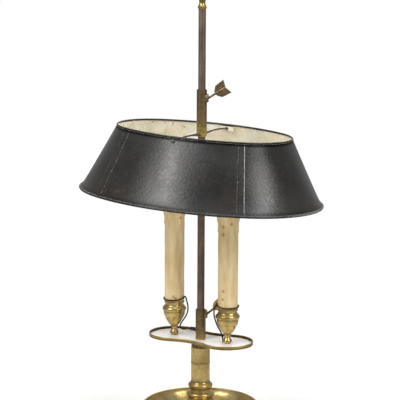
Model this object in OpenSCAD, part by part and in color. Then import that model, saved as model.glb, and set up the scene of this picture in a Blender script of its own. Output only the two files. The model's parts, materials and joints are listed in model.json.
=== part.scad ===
// Two-light bouillotte lamp: a dish foot and turned column carry a round rod. The candle tray and the
// oval shade slide and turn on the rod and are held by arrow-shaped clamping keys.
// Units are millimetres. The origin is the middle of the foot, on the table, with Z up along the rod
// and X along the tray.

/* [Dish foot] */
// Radius of the dish at the middle of its rolled rim
dish_r = 74; // [70:1:90]
// Height of the middle of the rolled rim above the table
dish_h = 33.2; // [26:0.2:36]
// Radius of the rolled rim
dish_bead_r = 1.4; // [1:0.1:2]
// Radius of the flat floor of the dish
floor_r = 47; // [44:1:52]
// Height of the floor of the dish above the table
floor_h = 13; // [12:0.5:16]
// Thickness of the spun brass
dish_t = 2; // [1.4:0.1:2.4]
// Outer radius of the ring that the foot stands on
skirt_r = 51; // [49:0.5:56]
// Thickness of the felt under the foot
felt_t = 2; // [1:0.2:2.4]
// Thickness of the iron weight under the floor
weight_t = 6; // [4:0.5:6]
// Outer radius of the iron weight
weight_r = 45; // [36:1:45]
// Radius of the hole through the cable grommet
inlet_r = 3; // [2.4:0.1:3.2]
// Height of the cable grommet above the table
inlet_z = 5.8; // [5.6:0.1:6]

/* [Column] */
// Radius of the spreading end of the turned foot
bell_r = 31; // [27:1:38]
// Height of the turned foot of the column
foot_h = 54; // [52:1:62]
// Radius of the lower ring moulding
low_torus_r = 18.4; // [17:0.2:21]
// Radius of the upper ring moulding
high_torus_r = 16.3; // [15.2:0.1:18]
// Radius between the two ring mouldings
waist_r = 14.2; // [13:0.1:15]
// Radius of the plain tube of the column
column_r = 12.5; // [12:0.1:13.2]
// Radius of the hole down the column, where the leads run
column_bore_r = 9.7; // [9.2:0.1:10]
// Length of the lower tube of the column
low_tube_h = 23; // [15:1:40]
// Length of the upper tube of the column
high_tube_h = 20; // [15:1:40]
// Height of the thin ring between the two tubes
joint_ring_h = 1.2; // [0.8:0.1:2]
// How far the thin ring stands out of the tubes
joint_ring_out = 0.5; // [0.3:0.1:1]

/* [Rod and finial] */
// Diameter of the rod
rod_d = 9.6; // [9:0.1:10.4]
// Length of the rod above the column
rod_above = 442; // [420:1:500]
// Diameter of the threaded stud on top of the rod
stud_d = 5; // [4:0.5:5]
// Height of the finial above the rod
finial_h = 47; // [40:1:60]
// Radius of the body of the finial
finial_r = 10; // [8:0.5:13]
// Radius of the thin edge round the bottom of the finial
finial_edge_r = 6.1; // [5.6:0.1:7]

/* [Sliding sleeves] */
// Wall of the split liners that grip the rod
liner_t = 0.7; // [0.5:0.1:0.9]
// Wall of the sleeves
sleeve_t = 1.05; // [0.8:0.05:1.4]
// Running clearance on the radius of what turns or slides
run_gap = 0.05; // [0.03:0.01:0.08]
// Clearance on the radius of fixed pieces that fit in each other
fit_gap = 0.1; // [0.05:0.01:0.2]
// Height that the tray sleeve stands above the tray
tray_sleeve_h = 40; // [40:1:60]
// Length of the shade sleeve above the arms of the shade
shade_sleeve_up = 58; // [50:1:70]
// Length of the shade sleeve below the arms of the shade
shade_sleeve_down = 2.5; // [2.5:0.5:12]
// Radius of the round boss that each key is screwed into
boss_r = 5.6; // [5:0.1:6.5]
// Distance of the face of the boss from the middle of the rod
boss_reach = 8.5; // [8.2:0.1:9.5]

/* [Clamping keys] */
// Diameter of the screw and shaft of a key
key_d = 2.8; // [2.4:0.1:3]
// Length of the bare shaft between the boss and the feathers
key_shaft = 11; // [9:0.5:13]
// Length of the feathers
feather_l = 18.3; // [15:0.5:20]
// Half the width of the feathers
feather_w = 9.7; // [8:0.1:10]
// Depth of the notch at the end of the feathers
feather_notch = 3.2; // [2:0.2:5]
// Thickness of the feathers
feather_t = 1.6; // [1.2:0.1:2.4]
// Slope of the shade key above the horizontal, in degrees
shade_key_rise = 33; // [25:1:40]
// Direction of the shade key about the rod, in degrees
shade_key_turn = 27; // [0:1:60]
// Height of the shade key's boss above the arms of the shade
shade_key_up = 47; // [30:1:50]
// Slope of the tray key above the horizontal, in degrees
tray_key_rise = 38; // [30:1:42]
// Direction of the tray key about the rod, in degrees
tray_key_turn = 41; // [38:1:60]
// Height of the tray key's boss above the tray
tray_key_up = 33.4; // [30:0.1:34]
// Turn of the tray key about its own length at rest, in degrees
tray_key_roll = -58; // [-90:1:90]

/* [Tray] */
// Length of the tray
tray_l = 151; // [146:1:160]
// Radius of each round end of the tray
lobe_r = 34.5; // [32:0.5:38]
// Distance of the middle of each cup from its end of the tray
cup_inset = 33.5; // [31:0.5:35]
// Width of the tray at its waist
waist_w = 52; // [44:1:58]
// Thickness of the tray plate
plate_t = 1; // [0.8:0.1:2]
// Height of the rail round the tray
rail_h = 4.5; // [4:0.1:8]
// Thickness of the rail
rail_t = 1.4; // [1:0.1:2.4]
// Height of the dark collar under the tray
collar_h = 9.3; // [8.6:0.1:11]
// Radius of the dark collar under the tray
collar_r = 12; // [11.8:0.1:12]
// Height of the ring nut under the tray
tray_nut_h = 4; // [3:0.5:5]

/* [Cups and candles] */
// Height of the cup from the tray to the seat of the candle
cup_h = 47.6; // [46:0.2:56]
// Radius of the cup at its widest edge
cup_belt_r = 15.8; // [15:0.1:16.4]
// Radius of the ball foot of the cup
cup_ball_r = 5.8; // [5.5:0.1:6.5]
// Radius of the hollow in the cup
cup_hollow_r = 10.2; // [9:0.1:10.6]
// Radius of the candle tube
candle_r = 13; // [12.6:0.1:13.2]
// Length of the candle tube
candle_h = 127; // [110:1:140]
// Wall of the candle tube
candle_t = 0.9; // [0.6:0.1:1.2]
// Diameter of the screw that holds each cup
cup_screw_d = 4.4; // [3.5:0.1:5]
// Radius of the stem that carries the lampholder
stem_r = 5; // [4:0.5:6]
// Length of the lampholder
holder_h = 41; // [36:1:46]
// Radius of the screw cap of the bulb
cap_r = 6.9; // [6.7:0.1:7]
// Largest radius of the bulb
bulb_r = 17.5; // [16:0.5:18]
// Height of the bulb above the candle
bulb_h = 78; // [70:1:79]

/* [Shade] */
// Height of the arms of the shade above the table
arm_z = 392.8; // [391:0.2:410]
// Half the length of the top opening of the shade
shade_a = 117.9; // [112:0.1:125]
// Half the width of the top opening of the shade
shade_b = 82; // [78:0.5:88]
// How far the shade spreads from its top to its bottom
shade_flare = 44.4; // [35:0.2:52]
// Height of the shade from rim to rim
shade_h = 84.2; // [75:0.2:95]
// Height of the top rim above the arms
shade_up = 4.7; // [4.5:0.1:7]
// How far the middle of the shade lies off the rod, along its length
shade_off = 3.2; // [0:0.1:5]
// Thickness of the sheet iron of the shade
sheet_t = 0.7; // [0.5:0.1:1]
// Radius of the wires rolled into the rims
wire_r = 1.3; // [1:0.1:1.6]
// How far the bottom rim turns outwards
lip_out = 0.8; // [0.5:0.1:2.4]
// Turn of the shade about the rod at rest, in degrees
shade_turn = 8.5; // [0:0.5:20]
// Lean of the shade to its right end at rest, in degrees
shade_lean = 3.45; // [0:0.05:5]
// Diameter of the arms of the shade
arm_d = 2.4; // [2:0.1:3]
// Diameter of the arms where they leave the sleeve
arm_root_d = 4; // [3:0.1:4.4]
// Length over which the arms taper from there
arm_taper_l = 26; // [15:1:40]
// Rise of the middle of each arm above its ends
arm_bow = 2; // [1:0.1:3]
// Half the length of the lugs that hold the arms
lug_half = 9; // [6:0.5:12]
// Height of the lugs that hold the arms
lug_h = 5.2; // [4.8:0.1:5.8]
// Thickness of the lugs at the arm
lug_t = 4; // [3:0.1:5]
// Radius of the round heads on the ends of the arms
arm_head_r = 2.1; // [1.8:0.1:2.4]

/* [Leads] */
// Diameter of the flex
lead_d = 1.9; // [1.6:0.1:2]
// Diameter of the taped joint in the left lead
tape_d = 4.8; // [4:0.2:5.4]

/* [Hidden] */
$fn = 96;
cut = 1;            // what a cutting solid stands past the face that it cuts
smooth_steps = 5;   // chords along each stretch of a turned curve
body_gap = 0.3;     // between pieces that move past each other

brass = "#b39a55";
brass_dark = "#6f5f43";
patina = "#5a4a42";
dark = "#3a2f28";
black_tole = "#34322f";
iron = "#4a4a4a";
wax = "#dcc48f";
flex_brown = "#4b3a2e";

// Dish
wall_arc_r = (pow(dish_r - floor_r, 2) + pow(dish_h - floor_h, 2)) / (2 * (dish_h - floor_h));
skirt_t = 2;
under_floor = floor_h - dish_t;
felt_up = 0.4;
weight_bore_r = 16;
channel_w = 18;
channel_end = 12;
grommet_flange_r = inlet_r + 1.8;
grommet_flange_t = 1.4;
grommet_out = skirt_r + fit_gap / 2;
grommet_in = sqrt(pow(skirt_r - skirt_t, 2) - pow(grommet_flange_r, 2)) - fit_gap;

// Nut and washer under the floor
washer_r = 11;
washer_t = 1.5;
nut_flat_r = 9;
nut_h = 5;
rod_r = rod_d / 2;
rod_bottom = under_floor - washer_t - nut_h - 1.2;

// Terminal block in the foot
block_size = [12, 10, 6.4];
block_y = 33;
block_hole_r = 1.3;
block_hole_x = 3;

// Column
foot_z = floor_h;
web_z = foot_z + 11;
low_tube_z = foot_z + foot_h;
joint_z = low_tube_z + low_tube_h;
high_tube_z = joint_z + joint_ring_h;
column_top = high_tube_z + high_tube_h;
countersink_r = column_bore_r + 1.3;
countersink_h = 4.2;
rod_top = column_top + rod_above;
stud_h = 8;

// Sleeves
liner_in = rod_r + run_gap;
liner_out = liner_in + liner_t;
sleeve_in = liner_out + run_gap;
sleeve_out = sleeve_in + sleeve_t;
key_r = key_d / 2;

// Tray heights
collar_z = column_top + body_gap;
plate_z = collar_z + collar_h;
tray_z = plate_z + plate_t;
tray_sleeve_bottom = plate_z - tray_nut_h - 0.4;
tray_sleeve_top = tray_z + tray_sleeve_h;
cup_x = tray_l / 2 - cup_inset;
lobe_x = tray_l / 2 - lobe_r;
waist_arc_r = (pow(lobe_x, 2) + pow(waist_w / 2, 2) - pow(lobe_r, 2)) / (2 * lobe_r - waist_w);
collar_wall = 1.1;
collar_roof = 1.4;
tray_nut_r = 8.4;

// Cups and candles
seat_z = tray_z + cup_h;
hollow_z = tray_z + 28;
spigot_h = 3;
cup_nut_r = 4.6;
cup_nut_h = 3.6;
cup_screw_in = 7.4;
candle_top = seat_z + candle_h;
candle_in = candle_r - candle_t;
holder_r = candle_in - 0.3;
holder_z = candle_top - holder_h - 1.5;
cap_top = candle_top - 0.6;
cap_h = 27;
stem_bore_r = stem_r - 1.5;

// Shade: each oval is four arcs that meet at 60 degrees, so each panel is a sector of a cone
seam_angle = 60;
end_r = ((sqrt(3) - 2) * shade_a + shade_b) / (sqrt(3) - 1);
side_r = 2 * shade_a - end_r;
end_x = shade_a - end_r;
side_y = side_r - shade_b;
slope = atan(shade_flare / shade_h);
sheet_w = sheet_t / cos(slope);
shade_low = shade_up - shade_h;
panel_top = shade_up - wire_r - 0.05;
panel_low = shade_low + wire_r + 0.05;
arm_level_b = shade_b + shade_up * tan(slope);
lug_in = arm_level_b - sheet_w - lug_t;
arm_end = arm_level_b + arm_head_r * tan(slope) + body_gap;
arm_head_t = 0.9;
arm_stop_t = 1.2;
arm_hub_out = 0.4;      // what the ring at the root of an arm stands out of it
arm_taper_step = 0.2;   // what the end of the taper stands out of the arm
wall_fn = 360;
wire_sides = 8;
wire_step = 5;
shade_sleeve_low = arm_z - shade_sleeve_down;
shade_sleeve_high = arm_z + shade_sleeve_up;

// Leads
lead_r = lead_d / 2;
lead_sides = 8;
turn_r = candle_r + lead_r + 0.25;
lane_r = (rod_r + column_bore_r) / 2;
lane_end = web_z + 8;
entry_up = 5;
turn_steps = 18;
left_turn = [110, 383];
right_turn = [110, -158];
// Distances from the axis of each candle to the drop, and heights above the tray or the table
tape_from = [-18.5, 3.3, 11];
tape_to = [-10, 6.5, 9.7];
plate_hole_left = [-4, 8.9];
plate_hole_right = [34, 2];
plate_hole_r = 1.5;

// ---------- helpers ----------

// A point of the smooth curve from b to c, with a before and d after them
function curve_point(a, b, c, d, t) =
    0.5 * ((2 * b) + (c - a) * t + (2 * a - 5 * b + 4 * c - d) * t * t
    + (3 * b - a - 3 * c + d) * t * t * t);

// True where a profile point is marked as a corner
function is_corner(p) = len(p) == 3;

function flat(p) = [p[0], p[1]];

// A turned outline through [radius, height] points: corners carry a third number
function turned(p) = concat(
    [for (i = [0 : len(p) - 2])
        let (b = flat(p[i]), c = flat(p[i + 1]))
        let (straight = is_corner(p[i]) && is_corner(p[i + 1]))
        let (a = is_corner(p[i]) || i == 0 ? 2 * b - c : flat(p[i - 1]))
        let (d = is_corner(p[i + 1]) || i == len(p) - 2 ? 2 * c - b : flat(p[i + 2]))
        let (steps = straight ? 1 : smooth_steps)
        for (k = [0 : steps - 1]) curve_point(a, b, c, d, k / steps)],
    [flat(p[len(p) - 1])]);

module turn_solid(points) {
    rotate_extrude() polygon(turned(points));
}

module ring(r_out, r_in, z0, z1) {
    difference() {
        translate([0, 0, z0]) cylinder(r = r_out, h = z1 - z0);
        translate([0, 0, z0 - cut]) cylinder(r = r_in, h = z1 - z0 + 2 * cut);
    }
}

// Runs a cylinder along the line from a to b
module rod_between(a, b, r) {
    v = b - a;
    l = norm(v);
    translate(a) rotate([0, acos(v[2] / l), atan2(v[1], v[0])]) cylinder(r = r, h = l);
}

function unit(v) = v / norm(v);

// Direction of the tube at point i of a route
function heading(p, i) = unit(p[min(i + 1, len(p) - 1)] - p[max(i - 1, 0)]);

// Sideways vectors carried along the route, so that the tube doesn't twist
function side_vectors(p, i = 0, last = [0.1, 0.2, 1]) =
    let (h = heading(p, i), s = unit(last - (last * h) * h))
    i == len(p) - 1 ? [s] : concat([s], side_vectors(p, i + 1, s));

// A round flex along a route
module flex(p, r) {
    n = len(p);
    m = lead_sides;
    side = side_vectors(p);
    rings = [for (i = [0 : n - 1])
        let (u = side[i], w = cross(heading(p, i), u))
        for (k = [0 : m - 1]) p[i] + r * (cos(360 * k / m) * u + sin(360 * k / m) * w)];
    walls = [for (i = [0 : n - 2]) for (k = [0 : m - 1])
        let (a = i * m + k, b = i * m + (k + 1) % m)
        for (f = [[a, a + m, b], [b, a + m, b + m]]) f];
    start = [for (k = [1 : m - 2]) [0, k, k + 1]];
    stop = [for (k = [1 : m - 2]) let (o = (n - 1) * m) [o, o + k + 1, o + k]];
    polyhedron(points = rings, faces = concat(walls, start, stop));
}

// ---------- dish foot ----------

module base_dish() {
    color(brass) difference() {
        rotate_extrude() {
            intersection() {
                difference() {
                    translate([floor_r, floor_h + wall_arc_r]) circle(r = wall_arc_r + dish_t);
                    translate([floor_r, floor_h + wall_arc_r]) circle(r = wall_arc_r);
                }
                translate([floor_r, 0]) square([dish_r - floor_r + dish_t, dish_h]);
            }
            translate([0, under_floor]) square([floor_r, dish_t]);
            translate([dish_r + dish_t / 3, dish_h]) circle(r = dish_bead_r);
        }
        translate([0, 0, under_floor - cut]) cylinder(r = rod_r + fit_gap, h = dish_t + 2 * cut);
        feed_hole();
    }
}

// Ring soldered under the dish, which the lamp stands on
module base_ring() {
    color(brass) difference() {
        ring(skirt_r, skirt_r - skirt_t, 0, under_floor);
        translate([0, skirt_r + cut, inlet_z]) rotate([90, 0, 0])
            cylinder(r = inlet_r + 1 + fit_gap, h = skirt_t + 4 * cut);
    }
}

// Slanted way for the feed lead, from the space under the floor into the hole of the column
module feed_hole() {
    rod_between([0, 19.3, floor_h - 5], [0, lane_r, web_z + 0.6], lead_r + 0.9);
}

module base_weight() {
    color(iron) difference() {
        ring(weight_r, weight_bore_r, under_floor - weight_t, under_floor);
        translate([-channel_w / 2, channel_end, 0]) cube([channel_w, skirt_r, floor_h]);
    }
}

// Disc with a nick for the flange of the grommet
module base_felt() {
    color("#3d4a3a") difference() {
        translate([0, 0, felt_up]) cylinder(r = skirt_r - skirt_t - body_gap, h = felt_t);
        translate([0, 0, inlet_z]) rotate([-90, 0, 0])
            translate([0, 0, grommet_in - grommet_flange_t - body_gap])
            cylinder(r = grommet_flange_r + body_gap, h = skirt_t + 2 * grommet_flange_t + 4 * cut);
    }
}

module rod_washer() {
    color(iron) ring(washer_r, rod_r + fit_gap, under_floor - washer_t, under_floor);
}

module rod_nut() {
    color(iron) difference() {
        translate([0, 0, under_floor - washer_t - nut_h]) cylinder(r = nut_flat_r, h = nut_h, $fn = 6);
        translate([0, 0, -cut]) cylinder(r = rod_r + fit_gap, h = floor_h);
    }
}

module inlet_grommet() {
    length = grommet_out - grommet_in + 2 * grommet_flange_t;
    color("#20201f") translate([0, 0, inlet_z]) rotate([-90, 0, 0])
        translate([0, 0, grommet_in - grommet_flange_t]) difference() {
            union() {
                cylinder(r = grommet_flange_r, h = grommet_flange_t);
                cylinder(r = inlet_r + 1, h = length);
                translate([0, 0, length - grommet_flange_t])
                    cylinder(r = grommet_flange_r, h = grommet_flange_t);
            }
            translate([0, 0, -cut]) cylinder(r = inlet_r, h = length + 2 * cut);
        }
}

module terminal_block() {
    color("#d8d6cc") difference() {
        translate([-block_size[0] / 2, block_y - block_size[1] / 2, under_floor - block_size[2]])
            cube(block_size);
        for (x = [-block_hole_x, block_hole_x])
            translate([x, block_y + block_size[1] / 2 + cut, under_floor - block_size[2] / 2])
                rotate([90, 0, 0]) cylinder(r = block_hole_r, h = block_size[1] + 2 * cut);
    }
}

module feed_lead() {
    y0 = block_y - block_size[1] / 2 - 0.1;
    z0 = under_floor - block_size[2] / 2;
    color(flex_brown) flex([[0, y0, z0], [0, y0 - 3.4, z0 + 0.1], [0, y0 - 6.6, z0 + 0.9],
        [0, 17.8, 10.2], [0, 15, 14], [0, 11.9, 18], [0, 8.9, 22], [0, lane_r + 0.1, web_z + 1.6],
        [0, lane_r, web_z + 4]], lead_r);
}

// ---------- column and rod ----------

// Heights are counted from the floor of the dish
module column_foot() {
    color(brass) difference() {
        translate([0, 0, foot_z]) turn_solid([
            [0, 0, 1], [bell_r, 0, 1], [bell_r + 0.4, 2.2], [bell_r - 2.2, 5.6], [bell_r - 7.4, 11],
            [low_torus_r + 2, 17.6], [low_torus_r + 0.4, 22.5], [low_torus_r - 0.3, 26.6],
            [low_torus_r - 2.1, 29.2, 1], [low_torus_r - 0.9, 31.6], [low_torus_r, 34.2],
            [low_torus_r - 0.9, 36.6], [waist_r + 0.6, 38.4, 1], [waist_r, 40.6],
            [waist_r + 0.3, 42.8, 1], [high_torus_r - 0.5, 44.6], [high_torus_r, 46.4],
            [high_torus_r - 0.6, 48.2], [column_r + 1.7, 49.9, 1], [column_r + 0.6, 51.2],
            [column_r, foot_h - 0.6, 1], [column_r, foot_h, 1], [0, foot_h, 1]]);
        translate([0, 0, foot_z - cut]) cylinder(r = rod_r + fit_gap, h = foot_h);
        translate([0, 0, web_z]) cylinder(r = column_bore_r, h = foot_h);
        feed_hole();
    }
}

module column_low_tube() {
    color(brass) ring(column_r, column_bore_r, low_tube_z, joint_z);
}

module column_joint_ring() {
    color(brass) ring(column_r + joint_ring_out, column_bore_r, joint_z, high_tube_z);
}

module column_high_tube() {
    color(brass) difference() {
        ring(column_r, column_bore_r, high_tube_z, column_top);
        translate([0, 0, column_top - countersink_h]) cylinder(r1 = column_bore_r, r2 = countersink_r,
            h = countersink_h + 0.001);
    }
}

module rod() {
    color(patina) translate([0, 0, rod_bottom]) {
        cylinder(r = rod_r, h = rod_top - rod_bottom);
        cylinder(r = stud_d / 2, h = rod_top - rod_bottom + stud_h);
    }
}

// Heights are counted from the top of the rod
module finial() {
    color(brass) difference() {
        translate([0, 0, rod_top]) turn_solid([
            [0, 0, 1], [rod_r + 0.3, 0, 1], [finial_edge_r, 3.6, 1], [4.6, 5.4], [3.9, 8.2], [4.7, 12],
            [finial_r - 1.6, 18.4], [finial_r, 25.6], [finial_r - 2.4, 32.6], [4.3, finial_h - 9.6, 1],
            [3.3, finial_h - 7.6], [4.6, finial_h - 4.4], [3.6, finial_h - 1.2], [0, finial_h]]);
        translate([0, 0, rod_top - cut]) cylinder(r = stud_d / 2 + fit_gap, h = stud_h + cut + 0.5);
    }
}

// ---------- keys ----------

// Carries children from the key's own axis, Z, to its place on the rod
module key_place(boss_z, turn, rise) {
    translate([0, 0, boss_z]) rotate([0, 0, turn]) translate([boss_reach, 0, 0])
        rotate([0, 90 - rise, 0]) children();
}

// Round boss on a sleeve
module boss(boss_z, turn) {
    translate([0, 0, boss_z]) rotate([0, 0, turn]) rotate([0, 90, 0])
        cylinder(r = boss_r, h = boss_reach);
}

// The key's slanted hole, through the boss and the wall of the sleeve
module key_hole(boss_z, turn, rise) {
    key_place(boss_z, turn, rise) translate([0, 0, -boss_reach / cos(rise)])
        cylinder(r = key_r + run_gap, h = boss_reach / cos(rise) + 2 * boss_r);
}

// Length of the key inside the boss, along its slope: the tip stops just short of the liner
function key_in(rise) = (boss_reach - liner_out - key_r * sin(rise) - body_gap) / cos(rise);

module arrow_key(boss_z, turn, rise, roll = 0) {
    key_place(boss_z, turn, rise) rotate([0, 0, roll]) {
        translate([0, 0, -key_in(rise)])
            cylinder(r = key_r, h = key_in(rise) + key_shaft + feather_l - feather_notch);
        translate([0, 0, key_shaft]) rotate([90, 0, 0]) translate([0, 0, -feather_t / 2])
            linear_extrude(feather_t) polygon([[0, 0], [key_r + 1.6, 0], [feather_w / 2, 1.8],
                [feather_w * 0.87, 5], [feather_w, feather_l], [0, feather_l - feather_notch],
                [-feather_w, feather_l], [-feather_w * 0.87, 5], [-feather_w / 2, 1.8],
                [-key_r - 1.6, 0]]);
    }
}

// ---------- tray ----------

tray_boss_z = tray_z + tray_key_up;

// Outline of the tray, drawn in by inset
module tray_outline(inset) {
    r = lobe_r - inset;
    arc_y = waist_w / 2 + waist_arc_r;
    joint = [lobe_x - r * lobe_x / (lobe_r + waist_arc_r), r * arc_y / (lobe_r + waist_arc_r)];
    for (s = [-1, 1]) translate([s * lobe_x, 0]) circle(r = r);
    difference() {
        translate(-joint) square(2 * joint);
        for (s = [-1, 1]) translate([0, s * arc_y]) circle(r = waist_arc_r + inset);
    }
}

module tray_liner() {
    color(brass_dark) ring(liner_out, liner_in, tray_sleeve_bottom + 0.5, tray_sleeve_top - 0.5);
}

module tray_plate() {
    color("#d9d6cc") difference() {
        translate([0, 0, plate_z]) linear_extrude(plate_t) tray_outline(rail_t + fit_gap / 2);
        translate([0, 0, plate_z - cut]) {
            cylinder(r = sleeve_out + fit_gap, h = plate_t + 2 * cut);
            for (s = [-1, 1]) translate([s * cup_x, 0, 0])
                cylinder(r = cup_screw_d / 2 + fit_gap, h = plate_t + 2 * cut);
            for (p = [plate_hole_left, plate_hole_right]) translate([p[0], p[1], 0])
                cylinder(r = plate_hole_r, h = plate_t + 2 * cut);
        }
    }
}

module tray_rail() {
    color(brass) translate([0, 0, plate_z]) linear_extrude(rail_h) difference() {
        tray_outline(0);
        tray_outline(rail_t);
    }
}

module tray_sleeve() {
    color(brass_dark) difference() {
        union() {
            translate([0, 0, tray_sleeve_bottom])
                cylinder(r = sleeve_out, h = tray_sleeve_top - tray_sleeve_bottom);
            boss(tray_boss_z, tray_key_turn);
        }
        translate([0, 0, tray_sleeve_bottom - cut])
            cylinder(r = sleeve_in, h = tray_sleeve_top - tray_sleeve_bottom + 2 * cut);
        key_hole(tray_boss_z, tray_key_turn, tray_key_rise);
    }
}

// Open at the bottom: the leads pass inside it on their way into the column
module tray_collar() {
    color(dark) difference() {
        ring(collar_r, sleeve_out + fit_gap, collar_z, plate_z);
        translate([0, 0, collar_z - cut])
            cylinder(r = collar_r - collar_wall, h = collar_h - collar_roof + cut);
        translate([0, -lead_r - 0.6, collar_z - cut])
            cube([collar_r + cut, lead_d + 1.2, lead_d + 1.4 + cut]);
        translate([plate_hole_left[0], plate_hole_left[1], collar_z])
            cylinder(r = plate_hole_r, h = collar_h + cut);
    }
}

module tray_nut() {
    color(brass_dark) ring(tray_nut_r, sleeve_out + fit_gap, plate_z - collar_roof - tray_nut_h,
        plate_z - collar_roof);
}

module tray_key() {
    color(brass_dark) arrow_key(tray_boss_z, tray_key_turn, tray_key_rise, tray_key_roll);
}

// ---------- cups, candles and bulbs ----------

// Heights are counted from the tray
module cup() {
    rise = cup_h - 48.6;
    difference() {
        translate([0, 0, tray_z]) turn_solid([
            [0, 0, 1], [3.7, 0, 1], [cup_ball_r - 0.6, 1.5], [cup_ball_r, 3.3], [cup_ball_r - 0.5, 5.1],
            [4.1, 6.9], [3.4, 8.7], [3.7, 10.3, 1], [4.8, 10.9], [5, 12], [4.7, 13.1, 1], [6.3, 14.2],
            [8, 16.6], [10.9, 21.5], [13.2, 26.6 + rise / 2], [14.2, 31.8 + rise], [14.3, 34.7 + rise, 1],
            [cup_belt_r - 0.5, 35 + rise, 1], [cup_belt_r, 36.6 + rise], [cup_belt_r - 0.3, 38.4 + rise],
            [14, 40.2 + rise, 1], [12.8, 41.6 + rise], [12.2, 43.4 + rise], [12.6, 44.9 + rise, 1],
            [13.2, 45.5 + rise], [13.4, 46.6 + rise], [13.2, cup_h - 0.9], [candle_r, cup_h, 1],
            [candle_in - 0.2, cup_h, 1], [candle_in - 0.2, cup_h + spigot_h, 1],
            [0, cup_h + spigot_h, 1]]);
        translate([0, 0, hollow_z]) cylinder(r = cup_hollow_r, h = cup_h);
        translate([0, 0, tray_z - cut]) cylinder(r = cup_screw_d / 2 + fit_gap, h = cup_screw_in + cut + 0.3);
    }
}

module cup_left() {
    color(brass) translate([-cup_x, 0, 0]) cup();
}

module cup_right() {
    color(brass) translate([cup_x, 0, 0]) cup();
}

module cup_screws() {
    color(iron) for (s = [-1, 1]) translate([s * cup_x, 0, plate_z - cup_nut_h - 0.6])
        cylinder(r = cup_screw_d / 2, h = cup_nut_h + 0.6 + plate_t + cup_screw_in);
}

module cup_nuts() {
    color(brass_dark) for (s = [-1, 1]) translate([s * cup_x, 0, plate_z - cup_nut_h]) difference() {
        cylinder(r = cup_nut_r, h = cup_nut_h, $fn = 6);
        translate([0, 0, -cut]) cylinder(r = cup_screw_d / 2 + fit_gap, h = cup_nut_h + 2 * cut);
    }
}

module holder_stems() {
    color("#c9c3b4") for (s = [-1, 1]) translate([s * cup_x, 0, 0])
        ring(stem_r, stem_bore_r, hollow_z, holder_z);
}

module lampholder(x) {
    color("#ece7d8") translate([x, 0, 0]) difference() {
        translate([0, 0, holder_z]) cylinder(r = holder_r, h = holder_h);
        translate([0, 0, cap_top - cap_h - 0.6]) cylinder(r = cap_r + fit_gap, h = holder_h);
    }
}

module lampholder_left() {
    lampholder(-cup_x);
}

module lampholder_right() {
    lampholder(cup_x);
}

// The small hole runs along the first stretch of the lead, which goes in there
module candle(x, turn) {
    way = lead_turn(x, turn);
    start = way[0];
    first = unit(way[1] - start);
    color(wax) difference() {
        translate([x, 0, 0]) ring(candle_r, candle_in, seat_z, candle_top);
        rod_between(start - 2 * candle_t * first, way[1] + cut * first, lead_r + body_gap);
    }
}

module candle_left() {
    candle(-cup_x, left_turn);
}

module candle_right() {
    candle(cup_x, right_turn);
}

module bulb_caps() {
    color("#b9b9b4") for (s = [-1, 1]) translate([s * cup_x, 0, cap_top - cap_h])
        cylinder(r = cap_r, h = cap_h);
}

// Heights are counted from the top of the candle
module bulb(x) {
    color("#f2efe6", 0.6) translate([x, 0, candle_top]) turn_solid([
        [0, -0.6, 1], [cap_r - 0.2, -0.6, 1], [cap_r + 0.6, 2.4], [bulb_r * 0.62, bulb_h * 0.12],
        [bulb_r * 0.93, bulb_h * 0.26], [bulb_r, bulb_h * 0.37], [bulb_r * 0.9, bulb_h * 0.53],
        [bulb_r * 0.6, bulb_h * 0.72], [bulb_r * 0.28, bulb_h * 0.885],
        [bulb_r * 0.12, bulb_h * 0.97], [0, bulb_h]]);
}

module bulb_left() {
    bulb(-cup_x);
}

module bulb_right() {
    bulb(cup_x);
}

// ---------- leads of the candles ----------

// The turn of flex round the foot of a candle, from its entry hole to its end
function lead_turn(x, turn) = concat(
    [let (a = turn[0]) [x + (candle_r - 0.5) * cos(a), (candle_r - 0.5) * sin(a), seat_z + entry_up]],
    [for (i = [0 : turn_steps])
        let (t = i / turn_steps, a = turn[0] + (turn[1] - turn[0]) * (0.05 + 0.95 * t))
        let (up = 1.3 + (entry_up - 1.3) * pow(1 - t, 6) + 4.6 * pow(t, 8))
        [x + turn_r * cos(a), turn_r * sin(a), seat_z + up]]);

// Ways down the hole of the column, where both leads run side by side
function lane(a, from_z) = [[lane_r * cos(a), lane_r * sin(a), from_z],
    [lane_r * cos(a), lane_r * sin(a), (from_z + lane_end) / 2], [lane_r * cos(a), lane_r * sin(a), lane_end]];

// Drop of the left lead, taped joint, and the way down through the tray
left_drop = [[13.5, 7, 51.3], [15.2, 7.2, 45], [17, 7.2, 39.5], [17.3, 6.5, 34], [16.3, 5, 28],
    [13.5, 3, 22.4], [10.4, 1, 17], [8.7, -0.3, 13], [9.6, 0, 9.6], [13, 1, 8.6], [17, 1.8, 9.2],
    [20.5, 2.5, 10.4]];
right_drop = [[-14.6, -6, 49.4], [-16.2, -7.2, 45], [-16.3, -7.8, 40], [-15.1, -8.8, 35.6], [-13.3, -8.7, 30.4],
    [-10.9, -7.9, 23.4], [-8.3, -4.9, 16.6], [-7.4, -1.9, 11], [-7.7, 0.3, 6]];
// Way of the right lead under the tray, counted from the top of the column
right_under = [[33, 2, 8], [30, 1.8, 5.6], [26, 1.4, 4.4], [22, 0.9, 2.6], [18.6, 0.5, 1],
    [15.6, 0.2, 1], [13.4, 0, 2.1], [11.8, 0, 2.1], [10.2, 0, 1.2], [8.9, 0, -0.6], [8, 0, -3]];

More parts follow.
